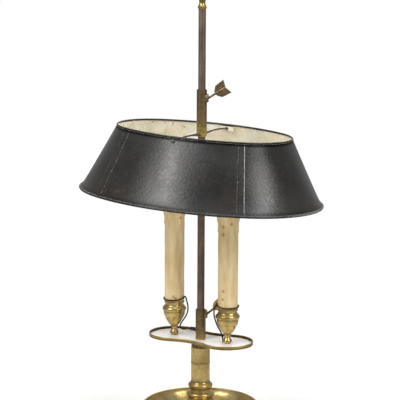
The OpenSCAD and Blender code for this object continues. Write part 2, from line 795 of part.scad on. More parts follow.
module lead_left() {
    hole = plate_hole_left;
    a = atan2(hole[1], hole[0]);
    color(flex_brown) flex(concat(lead_turn(-cup_x, left_turn),
        [for (p = left_drop) [p[0] - cup_x, p[1], tray_z + p[2]]],
        [for (p = [tape_from, tape_to]) [p[0], p[1], tray_z + p[2]]],
        [[-6.6, 8.3, tray_z + 7.4], [-4.4, 9, tray_z + 3.6], [hole[0], hole[1], tray_z],
            [hole[0], hole[1], collar_z + 0.6], [hole[0] * 0.9, hole[1] * 0.9, column_top - 2]],
        lane(a, column_top - 6)), lead_r);
}

module lead_right() {
    hole = plate_hole_right;
    color(flex_brown) flex(concat(lead_turn(cup_x, right_turn),
        [for (p = right_drop) [p[0] + cup_x, p[1], tray_z + p[2]]],
        [[hole[0], hole[1], tray_z + 2], [hole[0] - 0.2, hole[1], plate_z - 0.4]],
        [for (p = right_under) [p[0], p[1], column_top + p[2]]],
        lane(0, column_top - 6)), lead_r);
}

module taped_joint() {
    a = [tape_from[0], tape_from[1], tray_z + tape_from[2]];
    b = [tape_to[0], tape_to[1], tray_z + tape_to[2]];
    color(dark) difference() {
        rod_between(a, b, tape_d / 2);
        rod_between(a - unit(b - a), b + unit(b - a), lead_r + fit_gap);
    }
}

// ---------- shade ----------

shade_boss_z = arm_z + shade_key_up;

module shade_liner() {
    color(brass_dark) ring(liner_out, liner_in, shade_sleeve_low + 0.5, shade_sleeve_high - 0.5);
}

module shade_sleeve() {
    color(brass_dark) difference() {
        union() {
            translate([0, 0, shade_sleeve_low])
                cylinder(r = sleeve_out, h = shade_sleeve_high - shade_sleeve_low);
            boss(shade_boss_z, shade_key_turn);
        }
        translate([0, 0, shade_sleeve_low - cut])
            cylinder(r = sleeve_in, h = shade_sleeve_high - shade_sleeve_low + 2 * cut);
        key_hole(shade_boss_z, shade_key_turn, shade_key_rise);
    }
}

module shade_key() {
    color(brass_dark) arrow_key(shade_boss_z, shade_key_turn, shade_key_rise);
}

// One bowed arm from the sleeve to the wall, where its round end carries the shade
module shade_arm(side) {
    arm_r = arm_d / 2;
    pin_start = lug_in - arm_stop_t - body_gap;
    chord = pin_start - sleeve_out;
    bow_r = (pow(chord / 2, 2) + pow(arm_bow, 2)) / (2 * arm_bow);
    half = asin(chord / 2 / bow_r);
    taper_rise = arm_bow - bow_r + sqrt(pow(bow_r, 2) - pow(chord / 2 - arm_taper_l, 2));
    color(brass_dark) translate([0, 0, arm_z]) rotate([0, 0, shade_turn + (side > 0 ? 90 : -90)]) difference() {
        union() {
            translate([sleeve_out, 0, 0]) rotate([0, 90 - atan2(taper_rise, arm_taper_l), 0])
                cylinder(r1 = arm_root_d / 2, r2 = arm_r + arm_taper_step, h = arm_taper_l);
            translate([sleeve_out + chord / 2, 0, arm_bow - bow_r]) rotate([90, 0, 0])
                rotate([0, 0, 90 - half]) rotate_extrude(angle = 2 * half)
                    translate([bow_r, 0]) circle(r = arm_r);
            translate([pin_start, 0, 0]) rotate([0, 90, 0]) cylinder(r = arm_r, h = arm_end - pin_start);
            translate([pin_start - arm_stop_t, 0, 0]) rotate([0, 90, 0])
                cylinder(r = arm_r + 0.8, h = 2 * arm_stop_t);
            translate([arm_end, 0, 0]) rotate([0, 90, 0]) cylinder(r = arm_head_r, h = arm_head_t);
            translate([sleeve_in + 0.4, 0, 0]) rotate([0, 90, 0])
                cylinder(r = arm_root_d / 2 + arm_hub_out, h = sleeve_t + 1.2);
        }
        translate([0, 0, -arm_z / 4]) cylinder(r = sleeve_out, h = arm_z / 2);
    }
}

module shade_arm_front() {
    shade_arm(-1);
}

module shade_arm_back() {
    shade_arm(1);
}

// Carries children from the shade's own frame, with its origin between the arm ends
module shade_place() {
    translate([0, 0, arm_z]) rotate([0, 0, shade_turn]) rotate([0, shade_lean, 0])
        translate([shade_off, 0, 0]) children();
}

// A sector of the wall: r is its outer radius at the top rim
module wall_sector(r, span) {
    function wall_r(z) = r + (shade_up - z) * tan(slope);
    rotate([0, 0, -span / 2]) rotate_extrude(angle = span, $fn = wall_fn) polygon([
        [wall_r(panel_top) - sheet_w, panel_top], [wall_r(panel_top), panel_top],
        [wall_r(panel_low), panel_low], [wall_r(panel_low) - sheet_w, panel_low]]);
}

// The oval of a rim wire, out from the top rim of the wall: its four arcs in turn
function oval(out) =
    let (end_span = 2 * seam_angle, side_span = 180 - end_span)
    let (arcs = [[end_x, 0, end_r, 0, end_span], [0, -side_y, side_r, 90, side_span],
        [-end_x, 0, end_r, 180, end_span], [0, side_y, side_r, 270, side_span]])
    [for (c = arcs) for (t = [0 : wire_step / c[4] : 0.9999])
        let (a = c[3] + (t - 0.5) * c[4])
        [c[0] + (c[2] + out) * cos(a), c[1] + (c[2] + out) * sin(a)]];

module end_panel(side) {
    color(black_tole) shade_place() rotate([0, 0, side > 0 ? 0 : 180])
        translate([end_x, 0, 0]) wall_sector(end_r, 2 * seam_angle);
}

module side_panel(side) {
    color(black_tole) shade_place() difference() {
        rotate([0, 0, side * 90]) translate([-side_y, 0, 0]) wall_sector(side_r, 180 - 2 * seam_angle);
        arm_bore(side);
    }
}

// Hole for the end of an arm, in the shade's own frame
module arm_bore(side) {
    translate([-shade_off, 0, 0]) rotate([-side * 90, 0, 0])
        cylinder(r = arm_d / 2 + run_gap, h = arm_end + 2 * lug_t);
}

module shade_panel_front() {
    side_panel(-1);
}

module shade_panel_back() {
    side_panel(1);
}

module shade_panel_left() {
    end_panel(-1);
}

module shade_panel_right() {
    end_panel(1);
}

module rim_wire(out, z) {
    m = wire_sides;
    n = len(oval(0));
    rings = [for (k = [0 : m - 1])
        for (p = oval(out + wire_r * cos(360 * k / m))) [p[0], p[1], z + wire_r * sin(360 * k / m)]];
    walls = [for (k = [0 : m - 1]) for (i = [0 : n - 1])
        let (j = (i + 1) % n, a = k * n, b = (k + 1) % m * n)
        for (f = [[a + i, b + i, a + j], [a + j, b + i, b + j]]) f];
    color(black_tole) shade_place() polyhedron(points = rings, faces = walls);
}

module shade_top_wire() {
    rim_wire(-sheet_w / 2, shade_up);
}

module shade_bottom_wire() {
    rim_wire(shade_flare + lip_out - sheet_w, shade_low);
}

// Block soldered inside the wall, its back cut to the cone of the wall
module shade_lug(side) {
    color(dark) shade_place() difference() {
        intersection() {
            translate([-shade_off - lug_half, min(side * lug_in, side * (lug_in + 12)), -lug_h / 2])
                cube([2 * lug_half, 12, lug_h]);
            rotate([0, 0, side * 90]) translate([-side_y, 0, 0]) rotate([0, 0, -20])
                rotate_extrude(angle = 40, $fn = wall_fn) polygon([
                    [side_r / 2, -lug_h], [side_r / 2, lug_h],
                    [side_r - sheet_w + (shade_up - lug_h) * tan(slope), lug_h],
                    [side_r - sheet_w + (shade_up + lug_h) * tan(slope), -lug_h]]);
        }
        arm_bore(side);
    }
}

module shade_lug_front() {
    shade_lug(-1);
}

module shade_lug_back() {
    shade_lug(1);
}

base_dish();
base_ring();
base_weight();
base_felt();
rod_washer();
rod_nut();
inlet_grommet();
terminal_block();
feed_lead();
column_foot();
column_low_tube();
column_joint_ring();
column_high_tube();
rod();
finial();
tray_liner();
tray_plate();
tray_rail();
tray_sleeve();
tray_collar();
tray_nut();
tray_key();
cup_left();
cup_right();
cup_screws();
cup_nuts();
holder_stems();
lampholder_left();
lampholder_right();
candle_left();
candle_right();
bulb_caps();
bulb_left();
bulb_right();
lead_left();
lead_right();
taped_joint();
shade_liner();
shade_sleeve();
shade_arm_front();
shade_arm_back();
shade_key();
shade_panel_front();
shade_panel_back();
shade_panel_left();
shade_panel_right();
shade_top_wire();
shade_bottom_wire();
shade_lug_front();
shade_lug_back();
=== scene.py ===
import json
import math
import bmesh
import bpy
import numpy as np
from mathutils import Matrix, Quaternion, Vector


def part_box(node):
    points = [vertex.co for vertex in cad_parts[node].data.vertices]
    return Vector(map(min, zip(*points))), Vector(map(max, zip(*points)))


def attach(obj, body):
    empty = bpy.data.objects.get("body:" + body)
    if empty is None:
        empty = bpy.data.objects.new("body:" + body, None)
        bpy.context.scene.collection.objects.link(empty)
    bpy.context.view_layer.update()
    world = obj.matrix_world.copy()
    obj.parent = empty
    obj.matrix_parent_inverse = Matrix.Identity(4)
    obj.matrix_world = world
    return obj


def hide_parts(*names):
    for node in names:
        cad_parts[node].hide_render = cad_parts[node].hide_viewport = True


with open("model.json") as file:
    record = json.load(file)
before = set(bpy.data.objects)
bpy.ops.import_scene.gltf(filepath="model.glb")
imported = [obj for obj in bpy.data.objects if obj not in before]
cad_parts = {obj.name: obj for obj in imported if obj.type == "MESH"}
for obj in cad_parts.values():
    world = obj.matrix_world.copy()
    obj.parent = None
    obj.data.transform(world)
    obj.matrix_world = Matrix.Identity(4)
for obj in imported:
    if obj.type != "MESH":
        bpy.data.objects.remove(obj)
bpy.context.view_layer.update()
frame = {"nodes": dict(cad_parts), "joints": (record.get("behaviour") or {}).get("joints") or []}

nodes = frame["nodes"]
joints = {joint["name"]: joint for joint in frame["joints"]}
mm = 0.001


def cadBottom(node):
    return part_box(node)[0].z / mm


def cadTop(node):
    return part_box(node)[1].z / mm


# ---- camera, from the photograph's viewing angle ----
view = {
    "lens": 135,          # on a sensor 36 mm wide
    "distance": 1950,     # from the rod
    "height": 307,        # of the point on the rod that is half way up the picture
    "azimuth": 33.5,      # degrees, to the right end of the tray
    "elevation": 9,
    "roll": 0.3,          # the top of the rod leans to the right
    "rodColumn": 201.3,   # where the rod stands in a picture of 400 columns
}


def directionOf(azimuth, elevation):
    a, e = math.radians(azimuth), math.radians(elevation)
    return Vector((math.sin(a) * math.cos(e), -math.cos(a) * math.cos(e), math.sin(e)))


def makeCamera():
    data = bpy.data.cameras.new("photoCamera")
    data.lens, data.sensor_width = view["lens"], 36
    data.shift_x = (200 - view["rodColumn"]) / 400
    camera = bpy.data.objects.new("photoCamera", data)
    back = directionOf(view["azimuth"], view["elevation"])
    camera.location = Vector((0, 0, view["height"] * mm)) + back * view["distance"] * mm
    camera.rotation_mode = "QUATERNION"
    roll = Quaternion((0, 0, 1), math.radians(view["roll"]))
    camera.rotation_quaternion = back.to_track_quat("Z", "Y") @ roll
    bpy.context.scene.collection.objects.link(camera)
    bpy.context.scene.camera = camera


makeCamera()

# ---- colours and shader nodes ----


def paint(code):
    # sRGB hex to linear: each part c is c/12.92 below 0.04045 and ((c + 0.055)/1.055)^2.4 above
    parts = [int(code[i:i + 2], 16) / 255 for i in (1, 3, 5)]
    linear = [c / 12.92 if c <= 0.04045 else ((c + 0.055) / 1.055) ** 2.4 for c in parts]
    return (*linear, 1.0)


def addNode(tree, kind, inputs=None, stops=None, **settings):
    # inputs are values or sockets to link from; stops are (place, colour) pairs of a ramp
    node = tree.nodes.new("ShaderNode" + kind)
    for key, value in settings.items():
        setattr(node, key, value)
    for key, value in (inputs or {}).items():
        if isinstance(value, bpy.types.NodeSocket):
            tree.links.new(value, node.inputs[key])
        else:
            node.inputs[key].default_value = value
    for number, (place, colour) in enumerate(stops or []):
        ramp = node.color_ramp.elements
        if number > 1:
            ramp.new(place)
        ramp[number].position = place
        ramp[number].color = paint(colour)
    return node


def newMaterial(name, **constants):
    # an opaque surface with its fixed numbers on the shader's own sockets
    material = bpy.data.materials.new(name)
    material.use_nodes = True
    tree = material.node_tree
    tree.nodes.clear()
    shader = addNode(tree, "BsdfPrincipled", constants)
    addNode(tree, "OutputMaterial", {"Surface": shader.outputs[0]})
    place = addNode(tree, "TexCoord").outputs["Object"]
    return material, tree, shader, place


def perMm(size):
    return 1000 / size    # scale of a pattern whose features are size mm across


def finishWith(tree, shader, colour, roughness, height, depth):
    # joins colour, roughness and a bump of that depth in millimetres to the shader
    bump = addNode(tree, "Bump", {"Height": height, "Distance": depth * mm, "Strength": 1.0})
    tree.links.new(colour, shader.inputs["Base Color"])
    tree.links.new(roughness, shader.inputs["Roughness"])
    tree.links.new(bump.outputs[0], shader.inputs["Normal"])


def agedBrass(name, rough, depth, clean, dull):
    # Turned yellow brass, once lacquered: a satin skin with olive clouds, brown specks, dark dirt and painted
    # shade in the hollows and the fine rings of the lathe, which stretch the lights into soft upright bands
    material, tree, shader, place = newMaterial(name, Metallic=1.0)
    clouds = addNode(tree, "TexNoise", {"Vector": place, "Scale": perMm(22), "Detail": 5.0,
                                        "Roughness": 0.6}).outputs["Fac"]
    mottle = addNode(tree, "TexNoise", {"Vector": place, "Scale": perMm(2.4), "Detail": 8.0,
                                        "Roughness": 0.7}).outputs["Fac"]
    tone = addNode(tree, "ValToRGB", {"Fac": clouds}, [(0.36, dull), (0.62, clean)]).outputs[0]
    specks = addNode(tree, "MapRange", {"Value": mottle, "From Min": 0.36, "From Max": 0.27,
                                        "To Max": 0.35}).outputs[0]
    specked = addNode(tree, "MixRGB", {"Fac": specks, "Color1": tone, "Color2": paint("#6b5632")})
    # darker in the hollows of the outline: dirt and painted shade together
    hollow = addNode(tree, "Attribute", attribute_name="hollow").outputs["Fac"]
    broken = addNode(tree, "Math", {0: mottle, 1: 0.9, 2: hollow}, operation="MULTIPLY_ADD")
    dirtAndShade = addNode(tree, "MapRange", {"Value": broken.outputs[0], "From Min": 0.62, "From Max": 1.25,
                                      "To Max": 0.9}).outputs[0]
    colour = addNode(tree, "MixRGB", {"Fac": dirtAndShade, "Color1": specked.outputs[0], "Color2": paint("#3a2c17")})
    roughness = addNode(tree, "MapRange", {"Value": clouds, "From Min": 0.3, "From Max": 0.7,
                                           "To Min": rough[0], "To Max": rough[1]}).outputs[0]
    rings = addNode(tree, "TexWave", {"Vector": place, "Scale": perMm(0.9) / 20, "Distortion": 1.5,
                                      "Detail": 2.0, "Detail Scale": 3.0},
                    wave_type="BANDS", bands_direction="Z").outputs["Fac"]
    height = addNode(tree, "Math", {0: rings, 1: 0.8, 2: mottle}, operation="MULTIPLY_ADD").outputs[0]
    finishWith(tree, shader, colour.outputs[0], roughness, height, depth)
    return material


def darkBrass():
    # Brass under brown patina: bare brass shows where hands and the rod rub it
    material, tree, shader, place = newMaterial("brownBrass", Metallic=1.0)
    mottle = addNode(tree, "TexNoise", {"Vector": place, "Scale": perMm(4), "Detail": 8.0,
                                        "Roughness": 0.72}).outputs["Fac"]
    rubbed = addNode(tree, "Attribute", attribute_name="rubbed").outputs["Fac"]
    reach = addNode(tree, "Math", {0: mottle, 1: 1.3, 2: rubbed}, operation="MULTIPLY_ADD").outputs[0]
    bare = addNode(tree, "MapRange", {"Value": reach, "From Min": 0.55, "From Max": 1.45}).outputs[0]
    colour = addNode(tree, "ValToRGB", {"Fac": bare},
                     [(0.0, "#5d4c3c"), (0.35, "#77664b"), (0.7, "#978157"), (1.0, "#c0a76a")]).outputs[0]
    roughness = addNode(tree, "MapRange", {"Value": bare, "To Min": 0.5, "To Max": 0.34}).outputs[0]
    finishWith(tree, shader, colour, roughness, mottle, 0.08)
    return material


def patinatedRod():
    # Drawn rod browned by heat and handling: warm brown with long faint streaks along its length
    material, tree, shader, place = newMaterial("brownedRod", Metallic=0.85)
    stretched = addNode(tree, "Mapping", {"Vector": place, "Scale": (1, 1, 0.06)}).outputs[0]
    streaks = addNode(tree, "TexNoise", {"Vector": stretched, "Scale": perMm(2.2), "Detail": 6.0,
                                         "Roughness": 0.65}).outputs["Fac"]
    clouds = addNode(tree, "TexNoise", {"Vector": place, "Scale": perMm(30), "Detail": 4.0}).outputs["Fac"]
    both = addNode(tree, "Math", {0: streaks, 1: 0.6, 2: clouds}, operation="MULTIPLY_ADD").outputs[0]
    colour = addNode(tree, "ValToRGB", {"Fac": both},
                     [(0.55, "#60534a"), (0.8, "#76665a"), (1.0, "#8d7967")]).outputs[0]
    roughness = addNode(tree, "MapRange", {"Value": streaks, "To Min": 0.38, "To Max": 0.55}).outputs[0]
    finishWith(tree, shader, colour, roughness, streaks, 0.04)
    return material


def blackTole():
    # Japanned sheet iron: brown-black varnish, made dull and scratched to grey where it was handled, with a
    # grey haze that also paints the lamps' highlights, painted shade under the rims, and bare metal rubbed
    # through on the rims and seams
    material, tree, shader, place = newMaterial("blackJapan", IOR=1.5)
    clouds = addNode(tree, "TexNoise", {"Vector": place, "Scale": perMm(45), "Detail": 6.0,
                                        "Roughness": 0.6}).outputs["Fac"]
    grain = addNode(tree, "TexNoise", {"Vector": place, "Scale": perMm(3.6), "Detail": 8.0,
                                       "Roughness": 0.64}).outputs["Fac"]
    slanted = addNode(tree, "Mapping", {"Vector": place, "Rotation": (0.5, 0.3, 0.9),
                                        "Scale": (1, 0.05, 1)}).outputs[0]
    scratches = addNode(tree, "TexNoise", {"Vector": slanted, "Scale": perMm(1.6), "Detail": 3.0,
                                           "Roughness": 0.5}).outputs["Fac"]
    tint = addNode(tree, "TexNoise", {"Vector": place, "Scale": perMm(70), "Detail": 4.0,
                                      "Roughness": 0.55}).outputs["Fac"]
    brown = addNode(tree, "ValToRGB", {"Fac": clouds}, [(0.36, "#161210"), (0.66, "#2a221b")]).outputs[0]
    green = addNode(tree, "ValToRGB", {"Fac": clouds}, [(0.36, "#131412"), (0.66, "#222421")]).outputs[0]
    side = addNode(tree, "MapRange", {"Value": tint, "From Min": 0.42, "From Max": 0.58}).outputs[0]
    base = addNode(tree, "MixRGB", {"Fac": side, "Color1": brown, "Color2": green}).outputs[0]
    # grey haze where the varnish is dull, and painted highlights where the lamps' light lies on the wall
    dulled = addNode(tree, "Attribute", attribute_name="dulled").outputs["Fac"]
    strength = addNode(tree, "Math", {0: dulled, 1: 1.1}, operation="MULTIPLY").outputs[0]
    cover = addNode(tree, "Math", {0: grain, 1: 3.6, 2: strength}, operation="MULTIPLY_ADD").outputs[0]
    # the grey haze, which on most patches is a painted highlight
    haze = addNode(tree, "MapRange", {"Value": cover, "From Min": 2.35, "From Max": 3.5,
                                      "To Max": 0.85}).outputs[0]
    hazed = addNode(tree, "MixRGB", {"Fac": haze, "Color1": base, "Color2": paint("#7d736b")}).outputs[0]
    line = addNode(tree, "MapRange", {"Value": scratches, "From Min": 0.66, "From Max": 0.74,
                                      "To Max": 0.16}).outputs[0]
    lined = addNode(tree, "MixRGB", {"Fac": line, "Color1": hazed, "Color2": paint("#8b827b")}).outputs[0]
    rubbed = addNode(tree, "Attribute", attribute_name="rubbed").outputs["Fac"]
    through = addNode(tree, "Math", {0: grain, 1: 1.2, 2: rubbed}, operation="MULTIPLY_ADD").outputs[0]
    bare = addNode(tree, "MapRange", {"Value": through, "From Min": 1.06, "From Max": 1.45}).outputs[0]
    worn = addNode(tree, "MixRGB", {"Fac": bare, "Color1": lined, "Color2": paint("#99938a")}).outputs[0]
    shaded = addNode(tree, "Attribute", attribute_name="shaded").outputs["Fac"]
    colour = addNode(tree, "MixRGB", {"Fac": shaded, "Color1": worn, "Color2": paint("#0d0c0b")}).outputs[0]
    sheen = addNode(tree, "Math", {0: clouds, 1: 0.7, 2: grain}, operation="MULTIPLY_ADD").outputs[0]
    roughness = addNode(tree, "MapRange", {"Value": sheen, "From Min": 0.6, "From Max": 1.1,
                                           "To Min": 0.26, "To Max": 0.4}).outputs[0]
    gloss = addNode(tree, "MapRange", {"Value": shaded, "To Min": 0.42, "To Max": 0.05}).outputs[0]
    tree.links.new(gloss, shader.inputs["Specular IOR Level"])
    finishWith(tree, shader, colour, roughness, grain, 0.25)
    return material


def creamPaint():
    # Old brushed oil paint on iron: yellowed cream with brown flecks, chipped to dark metal at its edges, and
    # a painted white highlight where the wall is marked for it
    material, tree, shader, place = newMaterial("creamPaint", IOR=1.48)
    clouds = addNode(tree, "TexNoise", {"Vector": place, "Scale": perMm(26), "Detail": 6.0,
                                        "Roughness": 0.62}).outputs["Fac"]
    flecks = addNode(tree, "TexNoise", {"Vector": place, "Scale": perMm(5), "Detail": 9.0,
                                        "Roughness": 0.8}).outputs["Fac"]
    base = addNode(tree, "ValToRGB", {"Fac": clouds},
                   [(0.35, "#e0d5b5"), (0.5, "#ece4cc"), (0.68, "#f6f1e3")]).outputs[0]
    fine = addNode(tree, "TexNoise", {"Vector": place, "Scale": perMm(1.7), "Detail": 5.0,
                                      "Roughness": 0.7}).outputs["Fac"]
    speck = addNode(tree, "MapRange", {"Value": fine, "From Min": 0.42, "From Max": 0.3,
                                       "To Max": 0.75}).outputs[0]
    specked = addNode(tree, "MixRGB", {"Fac": speck, "Color1": base, "Color2": paint("#a89a78")}).outputs[0]
    stained = addNode(tree, "Attribute", attribute_name="stained").outputs["Fac"]
    reach = addNode(tree, "Math", {0: stained, 1: -0.3, 2: flecks}, operation="MULTIPLY_ADD").outputs[0]
    dark = addNode(tree, "MapRange", {"Value": reach, "From Min": 0.36, "From Max": 0.26,
                                      "To Max": 0.85}).outputs[0]
    flecked = addNode(tree, "MixRGB", {"Fac": dark, "Color1": specked,
                                       "Color2": paint("#9c8152")}).outputs[0]
    chipped = addNode(tree, "Attribute", attribute_name="chipped").outputs["Fac"]
    edge = addNode(tree, "Math", {0: flecks, 1: 1.2, 2: chipped}, operation="MULTIPLY_ADD").outputs[0]
    bare = addNode(tree, "MapRange", {"Value": edge, "From Min": 1.12, "From Max": 1.2}).outputs[0]
    worn = addNode(tree, "MixRGB", {"Fac": bare, "Color1": flecked, "Color2": paint("#2c2723")}).outputs[0]
    # a painted highlight: the colour turns white where the wall is marked for glare
    fresh = addNode(tree, "Attribute", attribute_name="fresh").outputs["Fac"]
    colour = addNode(tree, "MixRGB", {"Fac": fresh, "Color1": worn, "Color2": paint("#fbfaf6")}).outputs[0]
    roughness = addNode(tree, "MapRange", {"Value": clouds, "To Min": 0.42, "To Max": 0.62}).outputs[0]
    finishWith(tree, shader, colour, roughness, flecks, 0.12)
    return material


def candleWax():
    # Card tubes dipped in wax: tan cream with upright stains, a smoky cast, a few scorched brown spots, and
    # painted shade at the foot where each stands in its cup
    material, tree, shader, place = newMaterial("agedWax", IOR=1.45)
    shader.inputs["Subsurface Weight"].default_value = 0.08
    shader.inputs["Subsurface Radius"].default_value = (0.004, 0.002, 0.001)
    upright = addNode(tree, "Mapping", {"Vector": place, "Scale": (1, 1, 0.22)}).outputs[0]
    stains = addNode(tree, "TexNoise", {"Vector": upright, "Scale": perMm(9), "Detail": 6.0,
                                        "Roughness": 0.6}).outputs["Fac"]
    fine = addNode(tree, "TexNoise", {"Vector": place, "Scale": perMm(2.6), "Detail": 7.0,
                                      "Roughness": 0.7}).outputs["Fac"]
    base = addNode(tree, "ValToRGB", {"Fac": stains},
                   [(0.3, "#cfb27c"), (0.47, "#dfc592"), (0.64, "#ead6ac")]).outputs[0]
    scorched = addNode(tree, "Attribute", attribute_name="scorched").outputs["Fac"]
    spread = addNode(tree, "Math", {0: fine, 1: 0.8, 2: scorched}, operation="MULTIPLY_ADD").outputs[0]
    burntAndShaded = addNode(tree, "MapRange", {"Value": spread, "From Min": 0.7, "From Max": 1.3,
                                       "To Max": 0.8}).outputs[0]
    colour = addNode(tree, "MixRGB", {"Fac": burntAndShaded, "Color1": base, "Color2": paint("#94692a")}).outputs[0]
    roughness = addNode(tree, "MapRange", {"Value": fine, "To Min": 0.42, "To Max": 0.6}).outputs[0]
    finishWith(tree, shader, colour, roughness, fine, 0.12)
    return material


def plainFinish(name, dark, light, grain, rough, bumpDepth, **constants):
    # One common material in two close tones that follow its own grain, whose size is in millimetres
    material, tree, shader, place = newMaterial(name, **constants)
    noise = addNode(tree, "TexNoise", {"Vector": place, "Scale": perMm(grain), "Detail": 6.0,
                                       "Roughness": 0.65}).outputs["Fac"]
    colour = addNode(tree, "ValToRGB", {"Fac": noise}, [(0.35, dark), (0.65, light)]).outputs[0]
    roughness = addNode(tree, "MapRange", {"Value": noise, "To Min": rough[0],
                                           "To Max": rough[1]}).outputs[0]
    finishWith(tree, shader, colour, roughness, noise, bumpDepth)
    return material


finishes = {
    "agedBrass": agedBrass("agedBrass", (0.35, 0.27), 0.025, "#c0a86f", "#8e7948"),
    # smoother than the turned pieces, from the spinning
    "dishBrass": agedBrass("spunBrass", (0.27, 0.25), 0.004, "#cdb983", "#ae9762"),
    "brownBrass": darkBrass(),
    "rod": patinatedRod(),
    "tole": blackTole(),
    "cream": creamPaint(),
    "wax": candleWax(),
    # silvered plate, near white: its pale colour partly paints in the white backdrop that it mirrors, and it
    # mirrors the feet of the cups only softly
    "mirror": plainFinish("paleSilverPaintedReflection", "#f5f0ec", "#fdfbf9", 16, (0.16, 0.3), 0.004, Metallic=0.12),
    # brass blackened by age: brown, with a dull sheen
    "collar": plainFinish("blackenedBrass", "#57482f", "#7a6748", 5, (0.4, 0.55), 0.05, Metallic=1.0),
    "iron": plainFinish("greyCastIron", "#3d3d3c", "#575653", 3, (0.55, 0.75), 0.2, Metallic=0.7),
    "felt": plainFinish("greenWoolFelt", "#2c3829", "#46543f", 0.8, (0.9, 1.0), 0.3),
    "rubber": plainFinish("blackRubber", "#171716", "#2a2a28", 2, (0.6, 0.8), 0.05),
    "porcelain": plainFinish("glazedPorcelain", "#e2ddd0", "#f0ece2", 12, (0.15, 0.3), 0.02, IOR=1.55),
    "tube": plainFinish("zincPlatedSteel", "#a8a69e", "#c6c3b8", 4, (0.3, 0.5), 0.02, Metallic=1.0),
    "glass": plainFinish("opalBulbGlass", "#efece2", "#faf8f2", 20, (0.12, 0.22), 0.01, IOR=1.52),
    "cap": plainFinish("nickelCap", "#a7a59d", "#c9c7bf", 3, (0.2, 0.4), 0.02, Metallic=1.0),
    "flex": plainFinish("brownFlex", "#33200f", "#54391f", 3, (0.75, 0.95), 0.03,
                        **{"Specular IOR Level": 0.08}),
    "tape": plainFinish("blackClothTape", "#1e1a17", "#37302a", 1.2, (0.7, 0.9), 0.1),
}
print("finishes made:", len(finishes))

# ---- surfaces ----


def curveThrough(p, corner, steps):
    # Catmull-Rom curve: between b and c it is half of 2b + (c-a)t + (2a-5b+4c-d)t^2 + (3b-a-3c+d)t^3.
    # It starts again after each corner.
    b, c = p[:-1], p[1:]
    a = np.where(corner[:-1], 2 * b - c, np.vstack([2 * p[0] - p[1], p[:-2]]))[:, None]
    d = np.where(corner[1:], 2 * c - b, np.vstack([p[2:], 2 * p[-1] - p[-2]]))[:, None]
    b, c = b[:, None], c[:, None]
    t = (np.arange(steps) / steps)[None, :, None]
    line = 0.5 * (2 * b + (c - a) * t + (2 * a - 5 * b + 4 * c - d) * t**2 + (3 * b - a - 3 * c + d) * t**3)
    return np.vstack([line.reshape(-1, p.shape[1]), p[-1:]])


def smoothLine(points, steps):
    # the curve through the (r, z) of an outline, where a point with a third number is a corner
    corner = np.array([len(point) == 3 for point in points])[:, None]
    return curveThrough(np.array([point[:2] for point in points], float), corner, steps)


def smoothRoute(points, steps):
    # the curve through points in space
    return curveThrough(np.asarray(points, float), np.zeros((len(points), 1), bool), steps)


def lengthsAlong(line):
    # distance from the start of a line to each of its points
    return np.append(0, np.cumsum(np.linalg.norm(np.diff(line, axis=0), axis=1)))


def pointsAt(wanted, at, line):
    # the points of a line that lie at the wanted distances from its start
    return np.stack([np.interp(wanted, at, line[:, k]) for k in range(line.shape[1])], -1)


def arcLine(centre, radius, start, end, count):
    # points of a circle about centre, from the start angle to the end angle in degrees
    angle = np.radians(np.linspace(start, end, count))
    return np.stack([centre[0] + radius * np.cos(angle), centre[1] + radius * np.sin(angle)], -1)


def evenLine(points, step, closed=False):
    # even steps along a line, with its own points kept; a closed line doesn't repeat its first point
    p = np.vstack([points, points[:1]]) if closed else np.asarray(points, float)
    at = lengthsAlong(p)
    wanted = np.union1d(np.arange(0, at[-1], step), at)
    wanted = wanted[np.append(True, np.diff(wanted) > step / 20)]
    wanted[-1] = at[-1]
    line = pointsAt(wanted, at, p)
    return line[:-1] if closed else line


def angleFrom(angle, middle):
    # how far an angle is from the middle one, from -pi to pi
    return (angle - middle + np.pi) % (2 * np.pi) - np.pi


def hollowness(line, step, closed):
    # how far a smoothed copy of the outline stands outside it, in quarter millimetres: dirt gathers there,
    # and shade is painted there
    reach = max(1, round(1.6 / step))
    kernel = np.hanning(2 * reach + 3)[1:-1]
    padded = np.pad(line, ((reach, reach), (0, 0)), mode="wrap" if closed else "edge")
    soft = np.stack([np.convolve(padded[:, k], kernel / kernel.sum(), "valid") for k in (0, 1)], -1)
    heading = np.gradient(line, axis=0)
    outward = np.stack([heading[:, 1], -heading[:, 0]], -1)
    outward = outward / np.maximum(np.linalg.norm(outward, axis=1, keepdims=True), 1e-9)
    return np.clip(((soft - line) * outward).sum(1) / 0.25, -1, 1)


def gridQuads(rows, columns, joinRows=False, joinColumns=False):
    # quads between neighbours of a grid of points, joined round in either direction
    row, column = np.meshgrid(np.arange(rows - (not joinRows)), np.arange(columns - (not joinColumns)),
                              indexing="ij")
    nextRow, nextColumn = (row + 1) % rows, (column + 1) % columns
    corners = [row * columns + column, row * columns + nextColumn,
               nextRow * columns + nextColumn, nextRow * columns + column]
    return np.stack(corners, -1).reshape(-1, 4)


def turnedShell(outline, sides=128, step=0.6, closed=True):
    # Surface of revolution: each (r, z) of the outline is carried round to (r cos a, r sin a, z)
    line = evenLine(outline, step, closed)
    angle = 2 * np.pi * np.arange(sides) / sides
    r, z = line[:, :1], line[:, 1:]
    points = np.stack([r * np.cos(angle), r * np.sin(angle), z + 0 * angle], -1)
    hollow = hollowness(line, step, closed)[:, None] + 0 * angle
    return {"points": points, "quads": gridQuads(len(line), sides, closed, True), "hollow": hollow}


